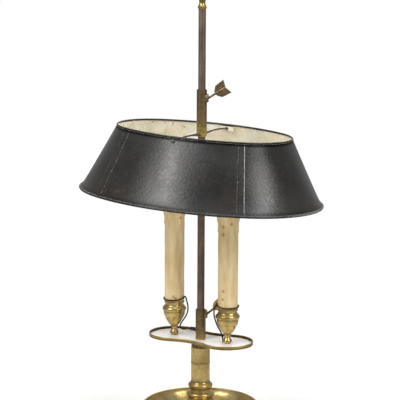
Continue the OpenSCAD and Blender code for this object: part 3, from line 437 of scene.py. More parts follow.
def bentShell(outline, route, side, sides=24, step=0.5):
    # A turned outline of (r, distance) bent along a flat route: each ring is
    # centre + r (cos a side + sin a top), where side is square to the route's plane
    line = evenLine(outline, step)
    at = lengthsAlong(route)
    heading = np.gradient(route, axis=0)
    heading = heading / np.linalg.norm(heading, axis=1, keepdims=True)
    centre = pointsAt(line[:, 1], at, route)[:, None]
    along = pointsAt(line[:, 1], at, heading)[:, None]
    angle = (2 * np.pi * np.arange(sides) / sides)[None, :, None]
    top = np.cross(along, np.asarray(side, float))
    points = centre + line[:, :1, None] * (np.cos(angle) * np.asarray(side, float) + np.sin(angle) * top)
    return {"points": points, "quads": gridQuads(len(line), sides, False, True),
            "hollow": hollowness(line, step, False)[:, None] + np.zeros(sides)}


def rimOf(grid):
    # the outermost points of a grid, once round
    return np.concatenate([grid[0], grid[1:, -1], grid[-1, -2::-1], grid[-2:0:-1, 0]])


def sheetShells(outer, inner, **fields):
    # a closed sheet: its outer side, its inner side with the second finish, and the strip that joins them
    rows, columns = outer.shape[:2]
    quads = gridQuads(rows, columns)
    strip = np.stack([rimOf(outer), rimOf(inner)])
    edges = {key: np.stack([rimOf(value)] * 2) for key, value in fields.items()}
    return [{"points": outer, "quads": quads, **fields},
            {"points": inner, "quads": quads, "paint": 1, **fields},
            {"points": strip, "quads": gridQuads(2, strip.shape[1], False, True), **edges}]


def turn(axis, degrees):
    c, s = math.cos(math.radians(degrees)), math.sin(math.radians(degrees))
    if axis == "x":
        return np.array([[1, 0, 0], [0, c, -s], [0, s, c]])
    if axis == "y":
        return np.array([[c, 0, s], [0, 1, 0], [-s, 0, c]])
    return np.array([[c, -s, 0], [s, c, 0], [0, 0, 1]])


def placed(shell, turning, place=(0, 0, 0)):
    # turns the points of a shell about the origin and then moves them
    return {**shell, "points": shell["points"] @ np.asarray(turning).T + np.asarray(place, float)}


def alongLine(start, end):
    # turning that carries Z to the direction from start to end
    heading = Vector(end) - Vector(start)
    return np.array(heading.to_track_quat("Z", "Y").to_matrix())


def makePiece(name, shells, finishNames, body, node, sharp=32):
    # joins shells into one object, welds their common points and turns every face outwards
    counts = [shell["points"].size // 3 for shell in shells]
    starts = np.append(0, np.cumsum(counts))
    points = np.concatenate([shell["points"].reshape(-1, 3) for shell in shells]) * mm
    quads = np.concatenate([shell["quads"] + start for shell, start in zip(shells, starts)])
    mesh = bpy.data.meshes.new(name)
    mesh.from_pydata(points.tolist(), [], quads.tolist())
    paints = np.concatenate([np.zeros(len(shell["quads"])) + shell.get("paint", 0) for shell in shells])
    mesh.polygons.foreach_set("material_index", paints.astype(np.int32))
    fieldNames = sorted({key for shell in shells for key in shell} - {"points", "quads", "paint"})
    for field in fieldNames:
        values = [np.broadcast_to(shell.get(field, 0.0), shell["points"].shape[:2]).ravel()
                  for shell in shells]
        attribute = mesh.attributes.new(field, "FLOAT", "POINT")
        attribute.data.foreach_set("value", np.concatenate(values).astype(np.float32))
    for finish in finishNames:
        mesh.materials.append(finishes[finish])
    work = bmesh.new()
    work.from_mesh(mesh)
    bmesh.ops.remove_doubles(work, verts=work.verts, dist=1e-6)
    bmesh.ops.recalc_face_normals(work, faces=work.faces)
    work.to_mesh(mesh)
    work.free()
    mesh.shade_smooth()
    mesh.set_sharp_from_angle(angle=math.radians(sharp))
    piece = bpy.data.objects.new(name, mesh)
    bpy.context.scene.collection.objects.link(piece)
    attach(piece, body)
    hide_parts(node)
    return piece


# ---- leads from the candles down to the column ----
lead = {
    "r": 0.95,
    "soften": 2.5,                # reach of the rounding of its corners
    "leftTurn": (110, 383),       # degrees round the foot of the left candle
    "rightTurn": (110, -158),
    "enters": 5,                  # height of the hole above the seat of the candle
    "laneR": 7.25,                # of the way down the column
    "laneEnd": 32,                # height at which the leads end in the foot of the column
    "tapeR": 2.4,
    "tapeFrom": (-18.5, 3.3, 11),
    "tapeTo": (-10, 6.5, 9.7),
    "leftHole": (-4, 8.9),
    "rightHole": (34, 2),
}
candle = {"r": 13, "wall": 0.9, "x": 42, "spigot": 3}
trayTop = cadTop("tray_plate")
trayUnder = cadBottom("tray_plate")
columnTop = cadTop("column_high_tube")
seatZ = cadBottom("candle_left")
candleTop = cadTop("candle_left")


def leadRound(x, turning):
    # from the hole in the wax and round the foot of the candle, falling to the seat and rising to leave
    t = np.arange(19) / 18
    angle = np.radians(turning[0] + (turning[1] - turning[0]) * (0.05 + 0.95 * t))
    r = candle["r"] + lead["r"] + 0.25
    up = 1.3 + (lead["enters"] - 1.3) * (1 - t)**6 + 4.6 * t**8
    first = math.radians(turning[0])
    inside = candle["r"] - 0.5
    start = [[x + inside * math.cos(first), inside * math.sin(first), seatZ + lead["enters"]]]
    return np.vstack([start, np.stack([x + r * np.cos(angle), r * np.sin(angle), seatZ + up], -1)])


def leadLane(degrees, top):
    angle = math.radians(degrees)
    x, y = lead["laneR"] * math.cos(angle), lead["laneR"] * math.sin(angle)
    return np.array([[x, y, z] for z in (top, top - 3, top - 9, top - 25, lead["laneEnd"])])


def leadLine(route):
    # the smooth curve in even steps, its corners rounded by a bell-shaped average along it
    line, step = smoothRoute(route, 5), 0.6
    at = lengthsAlong(line)
    line = pointsAt(np.linspace(0, at[-1], round(at[-1] / step) + 1), at, line)
    reach = math.ceil(3 * lead["soften"] / step)
    bell = np.exp(-(np.arange(-reach, reach + 1) * step / lead["soften"])**2 / 2)
    padded = np.vstack([2 * line[0] - line[reach:0:-1], line, 2 * line[-1] - line[-2:-reach - 2:-1]])
    return np.stack([np.convolve(padded[:, k], bell / bell.sum(), "valid") for k in range(3)], -1)


def makeLead(name, node, route, body="tray"):
    line = leadLine(route) * mm
    data = bpy.data.curves.new(name, "CURVE")
    data.dimensions = "3D"
    data.bevel_depth, data.bevel_resolution, data.use_fill_caps = lead["r"] * mm, 4, True
    spline = data.splines.new("POLY")
    spline.points.add(len(line) - 1)
    spline.points.foreach_set("co", np.hstack([line, np.ones((len(line), 1))]).ravel())
    piece = bpy.data.objects.new(name, data)
    bpy.context.scene.collection.objects.link(piece)
    data.materials.append(finishes["flex"])
    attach(piece, body)
    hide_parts(node)
    return piece, line, lengthsAlong(line)[-1]


# The drops are from the middle of each candle and the top of the tray, and rightUnder is from the rod and the
# top of the column
leftDrop = [(13.5, 7, 51.3), (15.2, 7.2, 45), (17, 7.2, 39.5), (17.3, 6.5, 34), (16.3, 5, 28),
            (13.5, 3, 22.4), (10.4, 1, 17), (8.7, -0.3, 13), (9.6, 0, 9.6), (13, 1, 8.6), (17, 1.8, 9.2),
            (20.5, 2.5, 10.4)]
rightDrop = [(-14.6, -6, 49.4), (-16.2, -7.2, 45), (-16.3, -7.8, 40), (-15.1, -8.8, 35.6),
             (-13.3, -8.7, 30.4), (-10.9, -7.9, 23.4), (-8.3, -4.9, 16.6), (-7.4, -1.9, 11), (-7.7, 0.3, 6)]
rightUnder = [(33, 2, 8), (30, 1.8, 5.6), (26, 1.4, 4.4), (22, 0.9, 2.6), (18.6, 0.5, 1), (15.6, 0.2, 1),
              (13.4, 0, 2.1), (11.8, 0, 2.1), (10.2, 0, 1.2), (8.9, 0, -0.6), (8, 0, -3)]
feedRoute = [(0, 27.9, 7.8), (0, 24.5, 7.9), (0, 21.3, 8.7), (0, 17.8, 10.2), (0, 15, 14), (0, 11.9, 18),
             (0, 8.9, 22), (0, 7.35, 25.6), (0, 7.25, 28)]
holeX, holeY = lead["leftHole"]
rightX, rightY = lead["rightHole"]
tapeLine = np.array([lead["tapeFrom"], lead["tapeTo"]]) + [0, 0, trayTop]
leftRoute = np.vstack([
    leadRound(-candle["x"], lead["leftTurn"]),
    np.array(leftDrop) + [-candle["x"], 0, trayTop],
    tapeLine,
    [[-6.6, 8.3, trayTop + 7.4], [-4.4, 9, trayTop + 3.6], [holeX, holeY, trayTop],
     [holeX, holeY, columnTop + 0.9], [holeX * 0.9, holeY * 0.9, columnTop - 2]],
    leadLane(math.degrees(math.atan2(holeY, holeX)), columnTop - 6)])
rightRoute = np.vstack([
    leadRound(candle["x"], lead["rightTurn"]),
    np.array(rightDrop) + [candle["x"], 0, trayTop],
    [[rightX, rightY, trayTop + 2], [rightX - 0.2, rightY, trayUnder - 0.4]],
    np.array(rightUnder) + [0, 0, columnTop],
    leadLane(0, columnTop - 6)])
leftLead, leftLine, leftLength = makeLead("leftLead", "lead_left", leftRoute)
rightLead, rightLine, rightLength = makeLead("rightLead", "lead_right", rightRoute)
makeLead("feedLead", "feed_lead", feedRoute, "stand")    # held in the foot from its block to the column


def tapedShell():
    # cloth tape wound in a spiral: the radius rises and falls with the angle and the distance along
    length = float(np.linalg.norm(tapeLine[1] - tapeLine[0]))
    bore = lead["r"] + 0.1
    outer = [(bore, 0), (lead["tapeR"] - 0.5, 0), (lead["tapeR"], 0.6), (lead["tapeR"], length - 0.6),
             (lead["tapeR"] - 0.5, length), (bore, length)]
    shell = turnedShell(np.array(outer), 48, 0.25)
    points = shell["points"]
    angle = np.arctan2(points[..., 1], points[..., 0])
    out = np.linalg.norm(points[..., :2], axis=-1, keepdims=True) > lead["tapeR"] - 0.6
    wind = 0.09 * np.sin(angle + 2 * np.pi * points[..., 2] / 2.4)[..., None]
    sway = np.concatenate([1 - wind * out, 1 - wind * out, np.ones_like(wind)], -1)
    return placed({**shell, "points": points * sway}, alongLine(*tapeLine), tapeLine[0])


tapedJoint = makePiece("tapedJoint", [tapedShell()], ["tape"], "tray", "taped_joint")
print("leads made, mm:", round(leftLength / mm), round(rightLength / mm))

# ---- dish foot, column, rod and finial ----
dish = {"rimR": 74, "beadR": 1.4, "floorR": 47, "floorZ": 13, "thick": 2, "holeR": 4.9}
column = {
    "r": 12.5, "bore": 9.7,       # of its plain tubes
    "bell": 31,                   # radius of the end that spreads on the dish
    "lowTorus": 18.4, "highTorus": 16.3, "waist": 14.2,    # ring mouldings and the hollow between them
    "webUp": 11,                  # thickness of its end round the rod
}
rod = {"r": 4.8, "studR": 2.6, "studH": 8.5}
finial = {"r": 10, "edge": 6.1}


def dishShell():
    # the wall is part of a circle that leaves the floor level; a bead is rolled round its top
    d = dish
    rimZ = cadTop("base_dish") - d["beadR"]
    rise, run = rimZ - d["floorZ"], d["rimR"] - d["floorR"]
    wallR = (run**2 + rise**2) / (2 * rise)
    centre = (d["floorR"], d["floorZ"] + wallR)
    rimAngle = math.degrees(math.asin((d["rimR"] - d["floorR"]) / wallR))
    outer = arcLine(centre, wallR + d["thick"], -90, -90 + rimAngle - 2.5, 40)
    inner = arcLine(centre, wallR, -90 + rimAngle - 1.6, -90, 40)
    bead = arcLine((d["rimR"] + d["thick"] / 3, rimZ), d["beadR"], -62, 208, 22)
    floor = [(d["holeR"], d["floorZ"]), (d["holeR"], d["floorZ"] - d["thick"])]
    return turnedShell(np.vstack([outer, bead, inner, floor]), 224, 0.9)


def columnFootShell():
    c = column
    bell, low, high, waist, r = c["bell"], c["lowTorus"], c["highTorus"], c["waist"], c["r"]
    height = cadTop("column_foot") - cadBottom("column_foot")
    outside = smoothLine([
        (rod["r"] + 0.1, 0, 1), (bell, 0, 1), (bell + 0.4, 2.2), (bell - 2.2, 5.6), (bell - 7.4, 11),
        (low + 2, 17.6), (low + 0.4, 22.5), (low - 0.3, 26.6), (low - 2.1, 29.2, 1), (low - 0.9, 31.6),
        (low, 34.2), (low - 0.9, 36.6), (waist + 0.6, 38.4, 1), (waist, 40.6), (waist + 0.3, 42.8, 1),
        (high - 0.5, 44.6), (high, 46.4), (high - 0.6, 48.2), (r + 1.7, 49.9, 1), (r + 0.6, 51.2),
        (r, height - 0.6, 1), (r, height, 1)], 8)
    bored = [(c["bore"], height), (c["bore"], c["webUp"]), (rod["r"] + 0.1, c["webUp"])]
    shell = turnedShell(np.vstack([outside, bored]), 160, 0.5)
    return placed(shell, np.eye(3), (0, 0, cadBottom("column_foot")))


def tubeShell(node, mouth=0):
    # a plain turned tube with broken edges; mouth widens its bore at the top
    r, bore, edge = column["r"], column["bore"], 0.25
    low, high = cadBottom(node), cadTop(node)
    outline = [(bore, low), (r - edge, low), (r, low + edge), (r, high - edge), (r - edge, high),
               (bore + mouth, high), (bore, high - max(3 * mouth, edge))]
    return turnedShell(np.array(outline), 128, 0.6)


def ringShell():
    # the thin raised ring between the two tubes, half round on its face
    low, high = cadBottom("column_joint_ring"), cadTop("column_joint_ring")
    face = arcLine((column["r"], (low + high) / 2), (high - low) / 2, -80, 80, 9)
    face[:, 0] = np.minimum(face[:, 0], column["r"] + 0.5)
    return turnedShell(np.vstack([[(column["bore"], low)], face, [(column["bore"], high)]]), 128, 0.3)


def rodShell():
    low, high = cadBottom("rod"), cadTop("rod") - 8
    outline = [(0, low), (rod["r"] - 0.5, low), (rod["r"], low + 0.5), (rod["r"], high - 0.2),
               (rod["r"] - 0.2, high), (rod["studR"] - 0.1, high), (rod["studR"] - 0.1, high + 7.6),
               (rod["studR"] - 0.5, high + 8), (0, high + 8)]
    return turnedShell(np.array(outline), 64, 2.5, closed=False)


def finialShell():
    r, edge, h = finial["r"], finial["edge"], cadTop("finial") - cadBottom("finial")
    outside = smoothLine([
        (rod["studR"], 0, 1), (rod["r"] + 0.3, 0, 1), (edge - 0.2, 2.9, 1), (edge, 3.6),
        (edge - 0.6, 4.1, 1), (4.6, 5.4), (3.9, 8.2), (4.7, 12),
        (r - 1.6, 18.4), (r, 25.6), (r - 2.4, 32.6), (4.3, h - 9.6, 1), (3.3, h - 7.6), (4.6, h - 4.4),
        (3.6, h - 1.2), (0, h, 1)], 8)
    stud = [(0, rod["studH"]), (rod["studR"], rod["studH"])]
    shell = turnedShell(np.vstack([outside, stud, [(rod["studR"], 0.01)]]), 96, 0.4, closed=False)
    return placed(shell, np.eye(3), (0, 0, cadBottom("finial")))


for name, shell, finish, node in (
        ("dishFoot", dishShell(), "dishBrass", "base_dish"),
        ("turnedFoot", columnFootShell(), "agedBrass", "column_foot"),
        ("lowTube", tubeShell("column_low_tube"), "agedBrass", "column_low_tube"),
        ("jointRing", ringShell(), "agedBrass", "column_joint_ring"),
        ("highTube", tubeShell("column_high_tube", 1.3), "agedBrass", "column_high_tube"),
        ("slideRod", rodShell(), "rod", "rod"),
        ("finialKnob", finialShell(), "agedBrass", "finial")):
    makePiece(name, [shell], [finish], "stand", node)
print("stand made")

# ---- sleeves and clamping keys ----
sleeve = {"in": 5.6, "out": 6.65, "bossR": 5.6, "bossReach": 8.5}
key = {
    "r": 1.4, "shaft": 11,        # of its screw
    "tipOut": 5.55,               # from the middle of the rod to the end of the screw
    "length": 18.3, "halfWidth": 9.7, "notch": 3.2, "halfThick": 0.8,    # of its two feathers
    "barbs": 13, "barbDepth": 0.2,
    "trayRoll": -58,              # degrees that the tray's key is turned about its own length
    "trayKeySheen": 0.7,              # how much brighter than the other the tray's key is painted: a sheen for the highlights on its feathers
}


def sleeveShells(node, joint):
    # the tube, and a round boss whose back is hollowed to lie in the wall of the tube
    low, high = cadBottom(node), cadTop(node)
    s, edge = sleeve, 0.2
    outline = [(s["in"], low), (s["out"] - edge, low), (s["out"], low + edge), (s["out"], high - edge),
               (s["out"] - edge, high), (s["in"], high)]
    tube = turnedShell(np.array(outline), 96, 1.0)
    depth = (tube["points"][..., 2] - low) / (high - low)
    tube["rubbed"] = 0.65 * (1 - depth)**2 + 0.16
    angle = 2 * np.pi * np.arange(64) / 64
    radius = np.array([0, 0.5, 1, 1, 1, 0.96, 0.5, 0]) * s["bossR"]
    front = np.array([0, 0, 0, 0.5, 0.93, 1, 1, 1])
    y, z = radius[:, None] * np.cos(angle), radius[:, None] * np.sin(angle)
    back = np.sqrt((s["out"] - 0.4)**2 - y**2)
    x = back + front[:, None] * (s["bossReach"] - back)
    place = np.array(joints[joint]["pos_m"]) / mm
    boss = {"points": np.stack([x, y, z], -1), "quads": gridQuads(8, 64, False, True), "rubbed": 0.3}
    azimuth = math.degrees(math.atan2(place[1], place[0]))
    return [tube, placed(boss, turn("z", azimuth), (0, 0, place[2]))]


def keyShells(joint, roll=0, wear=0.0):
    # a screw that runs on as the spine of two feathers; each row of the feather is one slanted barb
    place = np.array(joints[joint]["pos_m"]) / mm
    axis = np.array(joints[joint]["axis"])
    azimuth, rise = math.degrees(math.atan2(axis[1], axis[0])), math.degrees(math.asin(axis[2]))
    inward = sleeve["bossReach"] - key["tipOut"] - key["r"] * math.sin(math.radians(rise)) - 0.3
    tip = -inward / math.cos(math.radians(rise))
    spineEnd = key["shaft"] + key["length"] - key["notch"]
    spine = turnedShell(np.array([(0, tip), (key["r"] - 0.3, tip), (key["r"], tip + 0.3), (key["r"], 0.6),
                                  (key["r"], key["shaft"] - 1), (key["r"] * 1.12, key["shaft"]),
                                  (key["r"] * 0.9, key["shaft"] + 5), (key["r"] * 0.75, spineEnd - 0.6),
                                  (key["r"] * 0.5, spineEnd), (0, spineEnd)]), 32, 0.6, closed=False)
    spine["rubbed"] = 0.1 + 0.4 * (spine["points"][..., 2] > key["shaft"] + 8)
    v = np.linspace(0, 1, 14 * key["barbs"] + 1)[:, None]
    u = np.linspace(-1, 1, 33)[None, :]
    w = key["halfWidth"]
    edgeX = np.interp(v, [0, 0.1, 0.28, 0.6, 1], [3.0, w / 2 + 0.2, w * 0.87, w * 0.95, w])
    edgeY = np.interp(v, [0, 0.1, 0.28, 0.6, 1], [0, 1.7, 4.9, 11, key["length"]])
    spineY = v * (key["length"] - key["notch"])
    x = u * edgeX
    along = key["shaft"] + spineY + np.abs(u) * (edgeY - spineY)
    groove = key["barbDepth"] * (0.5 + 0.5 * np.cos(2 * np.pi * key["barbs"] * v)) * np.minimum(
        1, 6 * np.abs(u)) * np.minimum(1, 8 * (1 - np.abs(u)))
    half = key["halfThick"] * (1 - 0.35 * np.abs(u)**2) - groove
    front = np.stack([x, half, along + 0 * half], -1)
    behind = np.stack([x, -half, along + 0 * half], -1)
    # wear brightens the whole key as if rubbed; on the tray's key it is a painted sheen for the highlights on
    # its feathers
    worn = 0.2 + wear - 1.6 * groove + 0.35 * (1 - np.abs(u))**4 * v + 0.3 * np.abs(u)**8
    feather = sheetShells(front, behind, rubbed=worn, hollow=groove * 3)
    feather[1]["paint"] = 0
    turning = turn("z", azimuth) @ turn("y", 90 - rise) @ turn("z", roll)
    return [placed(shell, turning, place) for shell in [spine, *feather]]


for name, shells, body, node in (
        ("traySleeve", sleeveShells("tray_sleeve", "tray_key_turn"), "tray", "tray_sleeve"),
        ("shadeSleeve", sleeveShells("shade_sleeve", "shade_key_turn"), "shade_carrier", "shade_sleeve"),
        ("trayKey", keyShells("tray_key_turn", key["trayRoll"], key["trayKeySheen"]), "tray_clamp", "tray_key"),
        ("shadeKey", keyShells("shade_key_turn"), "shade_clamp", "shade_key")):
    makePiece(name, shells, ["brownBrass"], body, node)
print("sleeves and keys made")

# ---- tray rail, cups, candles and bulbs ----
tray = {"length": 151, "lobeR": 34.5, "waist": 52, "railT": 1.4, "railH": 4.5}
cup = {
    "belt": 15.8, "ball": 5.8,             # radii of its widest ring and of the ball under it
    "hollow": 10.2, "hollowUp": 28,        # radius and floor of the hollow for the lampholder
    "screwR": 2.3, "screwIn": 7.7,
    "drawnH": 48.6,                        # height that its outline is drawn for
}
bulb = {"capR": 6.9, "r": 17.5, "h": 78}


def trayOutline(spacing=1.2):
    # two round lobes joined by two arcs that curve in between them, once round from the right end
    lobeX = tray["length"] / 2 - tray["lobeR"]
    half = tray["waist"] / 2
    waistR = (lobeX**2 + half**2 - tray["lobeR"]**2) / (2 * tray["lobeR"] - tray["waist"])
    arcY = half + waistR
    meet = math.degrees(math.atan2(arcY, -lobeX))
    dip = meet - 90
    line = np.vstack([arcLine((lobeX, 0), tray["lobeR"], -meet, meet, 60)[:-1],
                      arcLine((0, arcY), waistR, -90 + dip, -90 - dip, 20)[:-1],
                      arcLine((-lobeX, 0), tray["lobeR"], 180 - meet, 180 + meet, 60)[:-1],
                      arcLine((0, -arcY), waistR, 90 + dip, 90 - dip, 20)[:-1]])
    return evenLine(line, spacing, closed=True)


def railShell():
    # The rail's section, (inset, height), carried round the outline of the tray: each point is
    # outline + inset × inward + height
    t, h = tray["railT"], tray["railH"]
    section = evenLine(np.array([(0.2, 0), (0, 0.25), (0, 0.95), (0.22, 1.15), (0.26, 3.1), (0.05, 3.35),
                                 (0, 3.8), (0.12, 4.2), (0.4, h), (t - 0.4, h), (t - 0.12, 4.25), (t, 3.8),
                                 (t, 0.2), (t - 0.2, 0)]), 0.25, closed=True)
    path = trayOutline()
    heading = np.roll(path, -1, 0) - np.roll(path, 1, 0)
    heading = heading / np.linalg.norm(heading, axis=1, keepdims=True)
    inward = np.stack([-heading[:, 1], heading[:, 0]], -1)
    flat = path[None] + section[:, None, :1] * inward[None]
    height = section[:, 1][:, None] + 0 * path[None, :, 0]
    points = np.concatenate([flat, (height + cadBottom("tray_rail"))[..., None]], -1)
    groove = np.exp(-((section[:, 1] - 1.3) / 0.5)**2) * (section[:, 0] < 0.5) * 0.7
    groove = groove + 0.9 * (section[:, 0] > 1.3) * (section[:, 1] < 4)    # the inner face is darker too: dirt and painted shade
    return {"points": points, "quads": gridQuads(len(section), len(path), True, True),
            "hollow": groove[:, None] + 0 * path[None, :, 0]}


def cupShell(x):
    b, belt, r = cup["ball"], cup["belt"], candle["r"]
    h = seatZ - trayTop
    rise = h - cup["drawnH"]
    spigotR = r - candle["wall"] - 0.2
    outside = smoothLine([
        (cup["screwR"], 0, 1), (3.7, 0, 1), (b - 0.6, 1.5), (b, 3.3), (b - 0.5, 5.1), (4.1, 6.9),
        (3.4, 8.7), (3.7, 10.3, 1), (4.8, 10.9), (5, 12), (4.7, 13.1, 1), (6.3, 14.2), (8, 16.6),
        (10.9, 21.5), (13.2, 26.6 + rise / 2), (14.2, 31.8 + rise), (14.3, 34.7 + rise, 1),
        (belt - 0.5, 35 + rise, 1), (belt, 36.6 + rise), (belt - 0.3, 38.4 + rise), (14, 40.2 + rise, 1),
        (12.8, 41.6 + rise), (12.2, 43.4 + rise), (12.6, 44.9 + rise, 1), (13.2, 45.5 + rise),
        (13.4, 46.6 + rise), (13.2, h - 0.9), (r, h, 1), (spigotR, h, 1),
        (spigotR, h + candle["spigot"], 1)], 8)
    within = [(cup["hollow"], h + candle["spigot"]), (cup["hollow"], cup["hollowUp"]),
              (0, cup["hollowUp"]), (0, cup["screwIn"]), (cup["screwR"], cup["screwIn"])]
    shell = turnedShell(np.vstack([outside, within]), 144, 0.4)
    return placed(shell, np.eye(3), (x, 0, trayTop))


# The wax of each candle. The hem of the collar that ran down from the top is its height above the seat and
# its thickness, a drip is its angle in degrees, length below the hem, width and thickness, and a scorched
# spot is its angle, height above the seat and size.
waxes = {
    "left": {
        "hem": (114, 0.9),
        "drips": [(-20, 10.5, 3.0, 1.0), (14, 13, 2.4, 1.1), (72, 8.5, 2.8, 0.9), (118, 12, 3.2, 0.9),
                  (165, 9, 3, 1.0), (214, 11.5, 3, 0.9), (262, 8, 2.6, 0.9), (305, 7, 3.2, 0.8)],
        "spots": [(-40, 122, 2.2), (-75, 119.5, 1.6), (-20, 112, 1.8), (-62, 6, 2), (-50, 4.5, 1.8),
                  (150, 90, 2.4), (60, 40, 2.6)],
    },
    "right": {
        "hem": (112, 1.2),
        "drips": [(-70, 7.5, 3, 0.8), (-25, 9.5, 2.8, 0.9), (22, 12.5, 2.6, 1.1), (88, 7, 3, 0.8),
                  (131, 11, 2.6, 0.9), (178, 8.5, 3.4, 0.9), (224, 12, 2.8, 1.1), (266, 6.5, 2.6, 0.7)],
        "spots": [(-86, 108, 2.2), (-88, 98, 2.4), (-40, 112, 2.2), (-84, 24, 2.1), (-88, 13, 1.9),
                  (120, 70, 2.2), (40, 100, 2.6)],
    },
}


def candleShell(x, wax):
    # A tube whose outside radius is r + slow swelling + collar + drips. The collar is a smooth step at its
    # wavy hem, and a drip is a bell curve round the angle times a smooth step at its lower end, with a bead
    # there.
    r, wall = candle["r"], candle["wall"]
    hemUp, hemOut = wax["hem"]
    dripAt, dripLong, dripWide, dripThick = np.array(wax["drips"]).T[:, :, None, None]
    spotAt, spotUp, spotSize = np.array(wax["spots"]).T[:, :, None, None]
    loop = np.array([(r - wall, seatZ), (r, seatZ), (r, candleTop - 0.7), (r - 0.45, candleTop),
                     (r - wall, candleTop - 0.3)])
    line = evenLine(loop, 0.8, closed=True)
    angle = 2 * np.pi * np.arange(176) / 176
    radius, z = line[:, :1] + 0 * angle, line[:, 1:] + 0 * angle
    outer = np.clip((radius - (r - wall) - 0.3) / 0.3, 0, 1)
    free = np.clip((z - seatZ - 11) / 10, 0, 1)
    swell = 0.10 * np.sin(2 * angle + z / 19) + 0.07 * np.sin(5 * angle - z / 7) + 0.05 * np.sin(z / 4.3)
    lower = seatZ + hemUp - dripLong
    bell = np.exp(-(angleFrom(angle, np.radians(dripAt)) * r / dripWide * 1.6)**2)
    run = 0.75 / (1 + np.exp(-(z - lower) / 0.5)) + 0.45 * np.exp(-((z - lower - 1.1) / 1.1)**2)
    over = z - seatZ - hemUp + 1.4 * np.sin(3 * angle + x) + 0.9 * np.sin(7 * angle - x)
    collar = (hemOut + 0.05 * np.clip(over, 0, 12)) / (1 + np.exp(-over / 0.7))
    collar = collar * np.clip((candleTop - z) / 4, 0.25, 1)
    radius = radius + outer * (free * swell + collar + np.max(dripThick * bell * run, axis=0))
    top = np.clip((z - candleTop + 1.5) / 1.5, 0, 1)
    uneven = 0.35 + 0.3 * np.sin(3 * angle + x) + 0.2 * np.sin(7 * angle)
    z = z - top * np.clip(uneven, 0, 1) * 0.8
    points = np.stack([x + radius * np.cos(angle), radius * np.sin(angle), z], -1)
    off = angleFrom(angle, np.radians(spotAt)) * r / spotSize
    up = (z - seatZ - spotUp) / spotSize / 1.3
    spot = np.exp(-(off**2 + up**2)).max(axis=0)
    # browned near the top, and painted shade at the foot where the candle stands in its cup
    sootAndFootShade = 0.25 * np.exp(-((z - candleTop) / 6)**2) + 0.2 * np.exp(-((z - seatZ) / 2.5)**2)
    return {"points": points, "quads": gridQuads(len(line), 176, True, True), "scorched": spot + sootAndFootShade}


def bulbShell(x):
    # the radius of a candle bulb falls off in a long point
    cap, r, h = bulb["capR"], bulb["r"], bulb["h"]
    outside = smoothLine([(0, -0.6, 1), (cap - 0.2, -0.6, 1), (cap + 0.6, 2.4), (r * 0.62, h * 0.12),
                          (r * 0.93, h * 0.26), (r, h * 0.37), (r * 0.9, h * 0.53), (r * 0.6, h * 0.72),
                          (r * 0.28, h * 0.885), (r * 0.12, h * 0.97), (0, h, 1)], 10)
    return placed(turnedShell(outside, 96, 1.0, closed=False), np.eye(3), (x, 0, candleTop))


makePiece("trayRail", [railShell()], ["agedBrass"], "tray", "tray_rail")
for side, x in (("left", -candle["x"]), ("right", candle["x"])):
    makePiece(side + "Cup", [cupShell(x)], ["agedBrass"], "tray", "cup_" + side)
    makePiece(side + "Candle", [candleShell(x, waxes[side])], ["wax"], "tray", "candle_" + side,
              sharp=60)
    makePiece(side + "Bulb", [bulbShell(x)], ["glass"], "tray", "bulb_" + side)
print("tray made")

# ---- shade ----
shade = {
    "halfLength": 117.9, "halfWidth": 82,        # of the top opening
    "flare": 44.4, "height": 84.2,               # how far the wall spreads and falls
    "up": 4.7,                                   # of the top rim above the arms
    "off": 3.2,                                  # of the middle of the oval from the rod, to the right
    "sheet": 0.7,
    "wire": 1.3, "bottomWire": 1.4, "lip": 0.8,    # lip is the bottom wire's middle, out from the wall
    "turn": 8.5, "lean": 3.45,                   # degrees, about the rod and down to the right end
    "curl": 1.7,                                 # how far the wall draws in before it turns out to its rim
    "lugT": 4,
}
arm = {"r": 1.2, "root": 2.0, "taper": 26, "bow": 2.0, "headR": 2.1}
armZ = joints["shade_tilt"]["pos_m"][2] / mm
slopeRun = shade["flare"] / shade["height"]
sheetWide = shade["sheet"] * math.sqrt(1 + slopeRun**2)
endR = ((math.sqrt(3) - 2) * shade["halfLength"] + shade["halfWidth"]) / (math.sqrt(3) - 1)
sideR = 2 * shade["halfLength"] - endR
endX, sideY = shade["halfLength"] - endR, sideR - shade["halfWidth"]
# Centre, radius, middle direction and half angle of each of the four arcs of the oval
arcs = {
    "right": (endX, 0, endR, 0, 60),
    "back": (0, -sideY, sideR, 90, 30),
    "left": (-endX, 0, endR, 180, 60),
    "front": (0, sideY, sideR, 270, 30),
}
# Patches of grey haze on the wall, where the varnish is dull and, on most of the front and right panels,
# painted highlights where the lamps' light lies: panel, degrees from its middle, distance down, width,
# height, strength
patches = [
    ("front", 0, 22, 14, 22, 0.7), ("front", 0.5, 52, 14, 18, 0.8), ("front", 1, 80, 22, 13, 0.85),
    ("front", 11, 45, 30, 40, 0.15), ("front", -17, 84, 34, 8, 0.3), ("right", -46, 45, 11, 24, 0.4),
    ("right", -43, 74, 13, 18, 0.7), ("left", 38, 40, 18, 28, 0.3), ("back", 2, 44, 30, 24, 0.5),
    ("back", -14, 66, 14, 12, 0.5), ("left", -20, 60, 20, 16, 0.4), ("right", 25, 30, 18, 20, 0.4),
]
# Painted shade, which darkens the varnish and takes away its gloss, in the same terms
paintedShadePatches = [("right", -42, 8, 30, 24, 0.5), ("left", 20, 50, 40, 40, 0.2)]
# Lines down the long panels: degrees from the middle, wear, half width and height in mm. The first two are
# the edges of laps, which stand up, and the others are only scribed.
seamLines = [(-26, 0.5, 0.6, 0.26), (29.8, 0.8, 0.6, 0.26), (-29.5, 0.44, 0.4, -0.1), (27.4, 0.44, 0.4, -0.1)]
